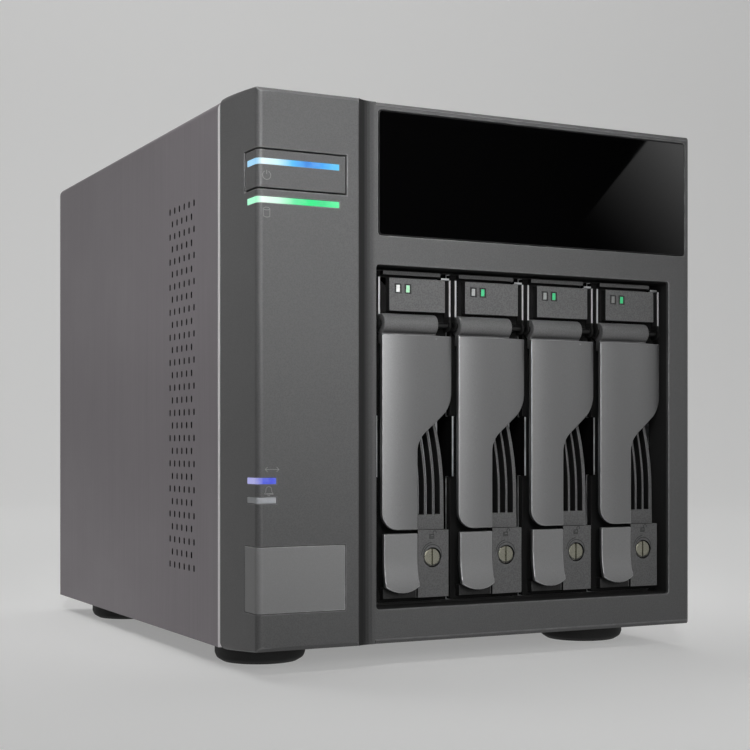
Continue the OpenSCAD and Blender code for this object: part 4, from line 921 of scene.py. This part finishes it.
class ENCLOSURE_OT_icons(Operator):
    """Prints generic icons beside the button and the light bars"""
    bl_idname = "enclosure.icons"
    bl_label = "Column icons"

    def execute(self, context):
        colours, sizes = settings(context)
        ink = ink_finish("icon_ink", colours.ink)
        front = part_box("front_bezel")[0].y
        x, z = -81.4, 155.6
        power = [(arc((x, z), 1.35, 118, 422, 26), False), ([(x, z + 0.35), (x, z + 1.6)], False)]
        printed("power_icon", power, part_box("power_button")[0].y, "power_button", ink,
                sizes.icon_line, sizes.icon_proud)
        x, z, r, up = -81.4, 144.2, 1.05, 1.1
        disk = [(arc((x, z + up), r, 0, 345, 23, 0.4), True),
                ([(x - r, z + up), (x - r, z - up)] + arc((x, z - up), r, 195, 345, 10, 0.4)
                 + [(x + r, z - up), (x + r, z + up)], False)]
        x, z = -79.6, 65.0
        link = [([(x - 2.3, z), (x + 2.3, z)], False),
                ([(x - 1.5, z + 0.75), (x - 2.3, z), (x - 1.5, z - 0.75)], False),
                ([(x + 1.5, z + 0.75), (x + 2.3, z), (x + 1.5, z - 0.75)], False)]
        x, z = -80.7, 58.3
        bell = [([(x - 1.5, z - 0.8)] + [(x - 1.0, z - 0.1)] + arc((x, z + 0.5), 0.95, 180, 0, 14)
                 + [(x + 1.0, z - 0.1), (x + 1.5, z - 0.8)], True),
                (arc((x, z - 0.95), 0.42, 200, 340, 8), False)]
        printed("column_icons", disk + link + bell, front, "root", ink,
                sizes.icon_line, sizes.icon_proud)
        return {"FINISHED"}


class ENCLOSURE_OT_trays(Operator):
    """Finishes the four trays: fronts, handles, release tabs, locks and lights"""
    bl_idname = "enclosure.trays"
    bl_label = "Trays"

    def execute(self, context):
        colours, sizes = settings(context)
        low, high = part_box("tray_front_1")
        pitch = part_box("tray_front_2")[0].x - low.x
        split_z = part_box("tray_handle_1")[1].z - BARREL_D - 0.4 * MM
        front = tray_moulding(colours.tray, colours.painted_shade, colours.cheek, TRAY_WALL_Y, low.x, pitch,
                              high.x - low.x, split_z + BARREL_D)
        grip = handle_paint(colours.handle, colours.tray, split_z)
        tab = metallic_paint("tab_paint", colours.tab, 0.4)
        nickel = bright_metal("nickel", colours.nickel, 0.28)
        pins = bright_metal("black_pin", (0.03, 0.03, 0.03), 0.4)
        sled = tray_zinc(colours.zinc, colours.painted_shade, low.y + 14 * MM)
        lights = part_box("tray_lights_1")
        lamp = tray_lamp(low.x, pitch, (lights[0].x + lights[1].x) / 2 - low.x)
        wide, fine, steps = sizes.bezel_edge, sizes.fine_edge, sizes.edge_steps
        for bay in BAYS:
            eased(f"tray_front_{bay}", f"tray_{bay}_face", front, fine, 2)
            eased(f"tray_handle_{bay}", f"tray_{bay}_grip", grip, wide, steps, reshape=recrown)
            eased(f"release_tab_{bay}", f"tray_{bay}_tab", tab, wide, steps)
            eased(f"tray_lock_{bay}", f"tray_{bay}_lock", nickel, fine, 2)
            eased(f"tray_lights_{bay}", f"tray_{bay}_lamps", lamp, LAMP_EDGE, 2)
            dress(pins, f"handle_pin_{bay}")
            dress(sled, f"tray_sled_{bay}")
        return {"FINISHED"}


class ENCLOSURE_OT_tray_marks(Operator):
    """Prints the lock icons and the dark surrounds of the tray lights, and paints a shade ring round each
    lock
    """
    bl_idname = "enclosure.tray_marks"
    bl_label = "Tray marks"

    def execute(self, context):
        colours, sizes = settings(context)
        ink = ink_finish("lock_print_and_shade", colours.mark)
        dark = moulded("lamp_surround", (0.004,) * 3, roughness=0.4, depth=0.01, scale=3000.0, wear_and_highlight=0.0)
        for bay in BAYS:
            low, high = (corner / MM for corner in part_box(f"tray_lights_{bay}"))
            frames = []
            wide, room = (high.z - low.z) * 0.61, 0.27
            z0, z1 = low.z - room, high.z + room
            for x in (low.x, high.x - wide):
                x0, x1 = x - room, x + wide + room
                frames.append(([(x0, z0), (x1, z0), (x1, z1), (x0, z1)], True))
            printed(f"tray_{bay}_lamp_frames", frames, LIGHT_FACE_Y, f"tray_{bay}", dark,
                    LAMP_FRAME_LINE, sizes.icon_proud)
            low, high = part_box(f"tray_lock_{bay}")
            x, z = (low.x + high.x) / 2 / MM, (low.z + high.z) / 2 / MM
            # The closed ring round each lock is painted shade of the lock's recess; the open arc beside it is
            # print.
            marks = [(arc((x, z), 4.1, 95, 178, 14), False), (arc((x, z), 3.42, 0, 345, 32), True)]
            x, z = x - 0.3, z + 6.3
            body = [(x - 0.8, z - 0.8), (x + 0.8, z - 0.8), (x + 0.8, z + 0.45), (x - 0.8, z + 0.45)]
            shackle = [(x + 0.5, z + 0.45), *arc((x + 1.1, z + 1.05), 0.6, 180, 0, 8), (x + 1.7, z + 0.75)]
            marks += [(body, True), ([(x - 0.8, z - 0.37), (x + 0.8, z - 0.37)], False),
                      ([(x - 0.8, z + 0.03), (x - 0.2, z + 0.03)], False), (shackle, False)]
            printed(f"tray_{bay}_marks", marks, LOCK_FACE_Y, f"tray_{bay}", ink,
                    LOCK_MARK_LINE, sizes.icon_proud)
        return {"FINISHED"}


class ENCLOSURE_OT_inside(Operator):
    """Finishes the cage, boards, drives, fans and power supply"""
    bl_idname = "enclosure.inside"
    bl_label = "Inside and rear"

    def execute(self, context):
        colours = settings(context)[0]
        zinc = zinc_sheet("cage_zinc", colours.zinc)
        dress(zinc, "drive_cage", "psu_bracket", "power_supply", "usb_socket")
        nylon = moulded("guide_nylon", (0.02,) * 3, roughness=0.45, depth=0.015, scale=2000.0, wear_and_highlight=0.2)
        dress(nylon, "guide_rails")
        black = moulded("fan_plastic", (0.012,) * 3, roughness=0.38, depth=0.012, wear_and_highlight=0.3, dust=0.2)
        dress(black, "fan_frame", "fan_rotor", "psu_fan_rotor", "sata_connectors")
        socket = moulded("inlet_nylon", (0.009,) * 3, roughness=0.33, depth=0.01, scale=2600.0, wear_and_highlight=0.3)
        dress(socket, "power_inlet")
        dress(board_finish((0.012, 0.075, 0.032)), "backplane_board", "main_board", "indicator_board")
        dress(bright_metal("guard_wire", (0.62, 0.62, 0.63), 0.2), "fan_guard")
        dress(bright_metal("inlet_blade", (0.66, 0.62, 0.52), 0.24), "inlet_pins")
        alloy = cast_alloy("drive_alloy", (0.42, 0.43, 0.44))
        dress(alloy, *[f"hard_drive_{bay}" for bay in BAYS])
        return {"FINISHED"}


def lathe(skin, profile, sides):
    """Turns a profile of (radius, y) round Y and gives its rings."""
    turns = [math.tau * i / sides for i in range(sides)]
    rings = [[skin.verts.new((radius * math.cos(turn), y, radius * math.sin(turn))) for turn in turns]
             for radius, y in profile]
    for one, two in zip(rings, rings[1:]):
        for i in range(sides):
            skin.faces.new((one[i], one[(i + 1) % sides], two[(i + 1) % sides], two[i]))
    return rings


def unit_object(name, skin):
    """A mesh object for the instancer, left out of the scene."""
    bmesh.ops.recalc_face_normals(skin, faces=skin.faces)
    return bpy.data.objects.new(name, as_mesh(name, skin))


def screw_head(sides=36):
    """A domed head of radius and height 1, with a cross-shaped pit."""
    skin = bmesh.new()
    dome = ((1.0, 0.0), (1.0, 0.42), (0.965, 0.62), (0.86, 0.82), (0.70, 0.94), (0.60, 0.98))
    rings = lathe(skin, dome, sides)
    skin.faces.new(rings[0])
    arm, half = 0.50, 0.11
    outline = [(half, arm), (-half, arm), (-half, half), (-arm, half), (-arm, -half), (-half, -half),
               (-half, -arm), (half, -arm), (half, -half), (arm, -half), (arm, half), (half, half)]
    rim = [skin.verts.new((x, 0.98, z)) for x, z in outline]
    pit = [skin.verts.new((x * 0.82, 0.25, z * 0.82)) for x, z in outline]
    count = len(rim)
    for i in range(count):
        skin.faces.new((rim[i], rim[(i + 1) % count], pit[(i + 1) % count], pit[i]))
    skin.faces.new(pit)
    loops = [skin.edges.get(pair) for ring in (rings[-1], rim) for pair in zip(ring, ring[1:] + ring[:1])]
    bmesh.ops.triangle_fill(skin, edges=loops, use_beauty=True)
    return unit_object("screw_head", skin)


def screw_shank(sides=20, turns=9):
    """A shank of radius and length 1 below y = 0, with thread ridges and a pointed end."""
    skin = bmesh.new()
    profile = [(0.86, 0.0)]
    for turn in range(turns):
        top = -0.06 - 0.86 * turn / turns
        profile += [(1.0, top - 0.43 / turns), (0.84, top - 0.86 / turns)]
    profile.append((0.55, -1.0))
    rings = lathe(skin, profile, sides)
    skin.faces.new(rings[0])
    skin.faces.new(rings[-1])
    return unit_object("screw_shank", skin)


def screw_places():
    """Seat, head size and shank size of each screw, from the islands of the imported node."""
    skin = merged("rear_screws")
    left = set(skin.verts)
    found = []
    while left:
        waiting = [left.pop()]
        island = []
        while waiting:
            corner = waiting.pop()
            island.append(corner.co.copy())
            for edge in corner.link_edges:
                other = edge.other_vert(corner)
                if other in left:
                    left.remove(other)
                    waiting.append(other)
        low = Vector(min(co[axis] for co in island) for axis in range(3))
        high = Vector(max(co[axis] for co in island) for axis in range(3))
        middle = (low + high) / 2
        head_r = (high.x - low.x) / 2
        reach = [(math.hypot(co.x - middle.x, co.z - middle.z), co.y) for co in island]
        seat = min(y for radius, y in reach if radius > 0.9 * head_r)
        shank_r = max(radius for radius, y in reach if y < low.y + 0.1 * MM)
        found.append(((middle.x, seat, middle.z), (head_r, high.y - seat, head_r),
                      (shank_r, seat - low.y, shank_r)))
    skin.free()
    return sorted(found)


def screw_tree():
    """Geometry nodes that set a head and a shank on each point, at its own size and turn."""
    tree = bpy.data.node_groups.new("screw_set", "GeometryNodeTree")
    for label, kind in (("Points", "Geometry"), ("Head", "Object"), ("Shank", "Object"),
                        ("Finish", "Material"), ("Seed", "Int")):
        tree.interface.new_socket(label, in_out="INPUT", socket_type="NodeSocket" + kind)
    tree.interface.new_socket("Screws", in_out="OUTPUT", socket_type="NodeSocketGeometry")
    given = put(tree, "NodeGroupInput").outputs
    turn = put(tree, "FunctionNodeRandomValue", {"Seed": given["Seed"]}, data_type="FLOAT")
    turn.inputs[3].default_value = math.tau
    turned = put(tree, "ShaderNodeCombineXYZ", {1: turn.outputs[1]}).outputs[0]
    joined = put(tree, "GeometryNodeJoinGeometry")
    for label, size in (("Head", "head_size"), ("Shank", "shank_size")):
        shape = put(tree, "GeometryNodeObjectInfo", {"Object": given[label]}).outputs["Geometry"]
        scale = put(tree, "GeometryNodeInputNamedAttribute", {"Name": size},
                    data_type="FLOAT_VECTOR").outputs[0]
        placed = put(tree, "GeometryNodeInstanceOnPoints", {"Points": given["Points"], "Instance": shape,
                                                            "Rotation": turned, "Scale": scale})
        tree.links.new(placed.outputs[0], joined.inputs[0])
    real = put(tree, "GeometryNodeRealizeInstances", {0: joined.outputs[0]})
    done = put(tree, "GeometryNodeSetMaterial", {"Geometry": real.outputs[0], "Material": given["Finish"]})
    put(tree, "NodeGroupOutput", {0: done.outputs[0]})
    return tree


class ENCLOSURE_OT_screws(Operator):
    """Sets cross-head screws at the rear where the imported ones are"""
    bl_idname = "enclosure.screws"
    bl_label = "Rear screws"

    def execute(self, context):
        places = screw_places()
        points = bpy.data.meshes.new("screw_points")
        points.from_pydata([seat for seat, head, shank in places], [], [])
        for label, index in (("head_size", 1), ("shank_size", 2)):
            sizes = points.attributes.new(label, "FLOAT_VECTOR", "POINT")
            for i, screw in enumerate(places):
                sizes.data[i].vector = screw[index]
        carrier = bpy.data.objects.new("screw_points", points)
        context.scene.collection.objects.link(carrier)
        tree = screw_tree()
        modifier = carrier.modifiers.new("screws", "NODES")
        modifier.node_group = tree
        steel = bright_metal("screw_steel", (0.12, 0.12, 0.125), 0.32)
        values = {"Head": screw_head(), "Shank": screw_shank(), "Finish": steel, "Seed": 7}
        for socket in tree.interface.items_tree:
            if socket.name in values:
                modifier[socket.identifier] = values[socket.name]
        carrier.update_tag()
        context.view_layer.update()
        ready = carrier.evaluated_get(context.evaluated_depsgraph_get())
        mesh = bpy.data.meshes.new_from_object(ready)
        mesh.name = "rear_screw_set"
        bpy.data.objects.remove(carrier)
        if not mesh.polygons:
            raise RuntimeError("the rear screws came out empty")
        made = piece("rear_screw_set", mesh, steel)
        stand_for(made, "rear_screws")
        return {"FINISHED"}


def flagged(lamp, piece_name):
    """Keeps a lamp's own image out of a glossy piece."""
    spared = bpy.data.collections.new(lamp + "_flag")
    spared.objects.link(bpy.data.objects[piece_name])
    bpy.data.objects[lamp].light_linking.receiver_collection = spared
    spared.collection_objects[0].light_linking.link_state = "EXCLUDE"


def softbox(name, location, target, size, watts, spread_angle):
    """A soft rectangular lamp that the camera doesn't see, its spread in degrees."""
    data = bpy.data.lights.new(name, "AREA")
    data.shape = "RECTANGLE"
    data.size, data.size_y = size
    data.energy = watts
    data.spread = math.radians(spread_angle)
    made = bpy.data.objects.new(name, data)
    made.location = location
    made.rotation_euler = (Vector(target) - made.location).to_track_quat("-Z", "Y").to_euler()
    made.visible_camera = False
    bpy.context.scene.collection.objects.link(made)


def seen_directly(tree):
    """1 for what the camera sees, also in gloss and through glass."""
    path = put(tree, "ShaderNodeLightPath").outputs
    seen = sums(tree, "ADD", path["Is Camera Ray"], path["Is Glossy Ray"])
    return sums(tree, "ADD", seen, path["Is Transmission Ray"], True)


def backdrop(turn, base):
    """A pale floor that sweeps up behind the object."""
    radius, wall, top, near, half, steps = 0.6, 1.7, 3.0, -40.0, 40.0, 16
    bends = [t / steps * math.pi / 2 for t in range(steps + 1)]
    sweep = [(wall - radius + radius * math.sin(bend), radius - radius * math.cos(bend)) for bend in bends]
    profile = [(near, 0.0), *sweep, (wall, top)]
    skin = bmesh.new()
    rows = []
    heading = Matrix.Rotation(-turn, 3, "Z")
    for depth, height in profile:
        rows.append([skin.verts.new(heading @ Vector((side, depth, height))) for side in (-half, half)])
    for one, two in zip(rows, rows[1:]):
        skin.faces.new((one[0], one[1], two[1], two[0])).smooth = True
    made, tree, shader = finish("studio_paper", 0.8, Emission_Strength=0.38)
    fibre = speckle(tree, place(tree), 60.0, 3.0, 0.6)
    paper = tint(tree, fibre, scaled(base, 0.99), scaled(base, 1.01))
    join(tree, shader, "Base Color", paper)
    join(tree, shader, "Emission Color", tint(tree, seen_directly(tree), BLACK, paper))
    piece("studio_floor", as_mesh("studio_floor", skin), made)


def mirror_card(name, ends, material):
    """A card that shows in gloss only."""
    skin = bmesh.new()
    skin.faces.new([skin.verts.new(end) for end in ends])
    card = piece(name, as_mesh(name, skin), material)
    card.visible_camera = card.visible_diffuse = card.visible_shadow = False


def window_cards():
    """What the gloss window mirrors: a black card, and before it one that is bright at its upper end."""
    matt = {"Specular_IOR_Level": 0.0, "Base_Color": (*BLACK, 1.0)}
    left, right, low, high, far = 0.48, 1.05, 0.29, 0.50, -1.25
    black = finish("black_card", 1.0, **matt)[0]
    ends = ((left, far, low), (right, far, low), (right, far, high), (left, far, high))
    mirror_card("black_card", ends, black)
    along = Vector((0.671, 0.0, 0.741))
    across = Vector((0.741, 0.0, -0.671))
    corner = Vector((0.816, -1.203, 0.377))
    bright, tree, shader = finish("bright_card", 1.0, Emission_Strength=1.8, **matt)
    offset = vectors(tree, "SUBTRACT", place(tree), corner)[0]
    up = vectors(tree, "DOT_PRODUCT", offset, along)["Value"]
    level = sums(tree, "POWER", spread(tree, up, -0.06, 0.124), 2.0)
    join(tree, shader, "Emission Color", tint(tree, level, BLACK, WHITE))
    ends = [corner + along * a + across * b for a, b in ((-0.1, 0.0), (0.5, 0.0), (0.5, 0.5), (-0.1, 0.5))]
    mirror_card("bright_card", ends, bright)


MIDDLE = (0.0, -0.03, 0.09)
# Name, place, target, size, watts and spread in degrees of each lamp.
LAMPS = (
    ("key_softbox", (-0.24, -0.50, 0.42), (-0.05, -0.115, 0.175), (0.16, 0.16), 0.115, 26.0),
    ("handle_softbox", (-0.02, -0.80, 0.22), MIDDLE, (0.26, 0.26), 0.25, 60.0),
    ("left_softbox", (-1.5, -0.40, 0.40), MIDDLE, (0.5, 0.8), 0.14, 180.0),
    ("rear_left_softbox", (-0.55, 1.0, 0.34), (-0.085, -0.02, 0.12), (0.45, 0.35), 0.13, 180.0),
    ("top_softbox", (0.0, 0.3, 1.5), MIDDLE, (1.4, 1.0), 2.1, 180.0),
    ("paper_softbox", (-0.2, 0.5, 1.7), (0.5, 1.6, 0.35), (1.6, 0.6), 9.0, 180.0),
)


class ENCLOSURE_OT_stage(Operator):
    """Sets up the camera, the pale floor and the soft lamps"""
    bl_idname = "enclosure.stage"
    bl_label = "Stage"

    def execute(self, context):
        scene = context.scene
        stage = scene.enclosure_stage
        data = bpy.data.cameras.new("front_camera")
        data.sensor_width = 36.0
        data.lens = stage.lens
        data.shift_x, data.shift_y = stage.shift_x, stage.shift_y
        data.clip_start = 0.01
        camera = bpy.data.objects.new("front_camera", data)
        camera.location = stage.camera_place
        camera.rotation_euler = (math.pi / 2, 0.0, -stage.camera_turn)
        scene.collection.objects.link(camera)
        scene.camera = camera
        backdrop(stage.camera_turn, scene.enclosure_colours.floor)
        for lamp in LAMPS:
            softbox(*lamp)
        window_cards()
        world = bpy.data.worlds.new("studio")
        world.use_nodes = True
        tree = world.node_tree
        shown = tint(tree, seen_directly(tree), (stage.ambient,) * 3, (stage.surround,) * 3)
        ahead = put(tree, "ShaderNodeLightPath").outputs["Is Camera Ray"]
        join(tree, tree.nodes["Background"], "Color", tint(tree, ahead, shown, (stage.horizon,) * 3))
        scene.world = world
        scene.view_settings.view_transform = "Standard"
        return {"FINISHED"}


OPERATORS = (
    ENCLOSURE_OT_stage,
    ENCLOSURE_OT_cover,
    ENCLOSURE_OT_front,
    ENCLOSURE_OT_lenses,
    ENCLOSURE_OT_icons,
    ENCLOSURE_OT_trays,
    ENCLOSURE_OT_tray_marks,
    ENCLOSURE_OT_inside,
    ENCLOSURE_OT_screws,
)


class ENCLOSURE_PT_panel(Panel):
    """Lists the steps that finish the enclosure"""
    bl_label = "Enclosure"
    bl_space_type = "VIEW_3D"
    bl_region_type = "UI"
    bl_category = "Enclosure"

    def draw(self, context):
        for operator in OPERATORS:
            self.layout.operator(operator.bl_idname)
        for held, kind in PROPERTIES.items():
            for name in kind.__annotations__:
                self.layout.prop(getattr(context.scene, held), name)


PROPERTIES = {
    "enclosure_colours": EnclosureColours,
    "enclosure_sizes": EnclosureSizes,
    "enclosure_stage": EnclosureStage,
}
CLASSES = (*PROPERTIES.values(), *OPERATORS, ENCLOSURE_PT_panel)


def register():
    for made in CLASSES:
        bpy.utils.register_class(made)
    for name, group in PROPERTIES.items():
        setattr(bpy.types.Scene, name, PointerProperty(type=group))


def unregister():
    for name in PROPERTIES:
        delattr(bpy.types.Scene, name)
    for made in reversed(CLASSES):
        bpy.utils.unregister_class(made)


def main():
    register()
    for operator in OPERATORS:
        getattr(bpy.ops.enclosure, operator.bl_idname.split(".")[1])()


if __name__ == "__main__":
    main()
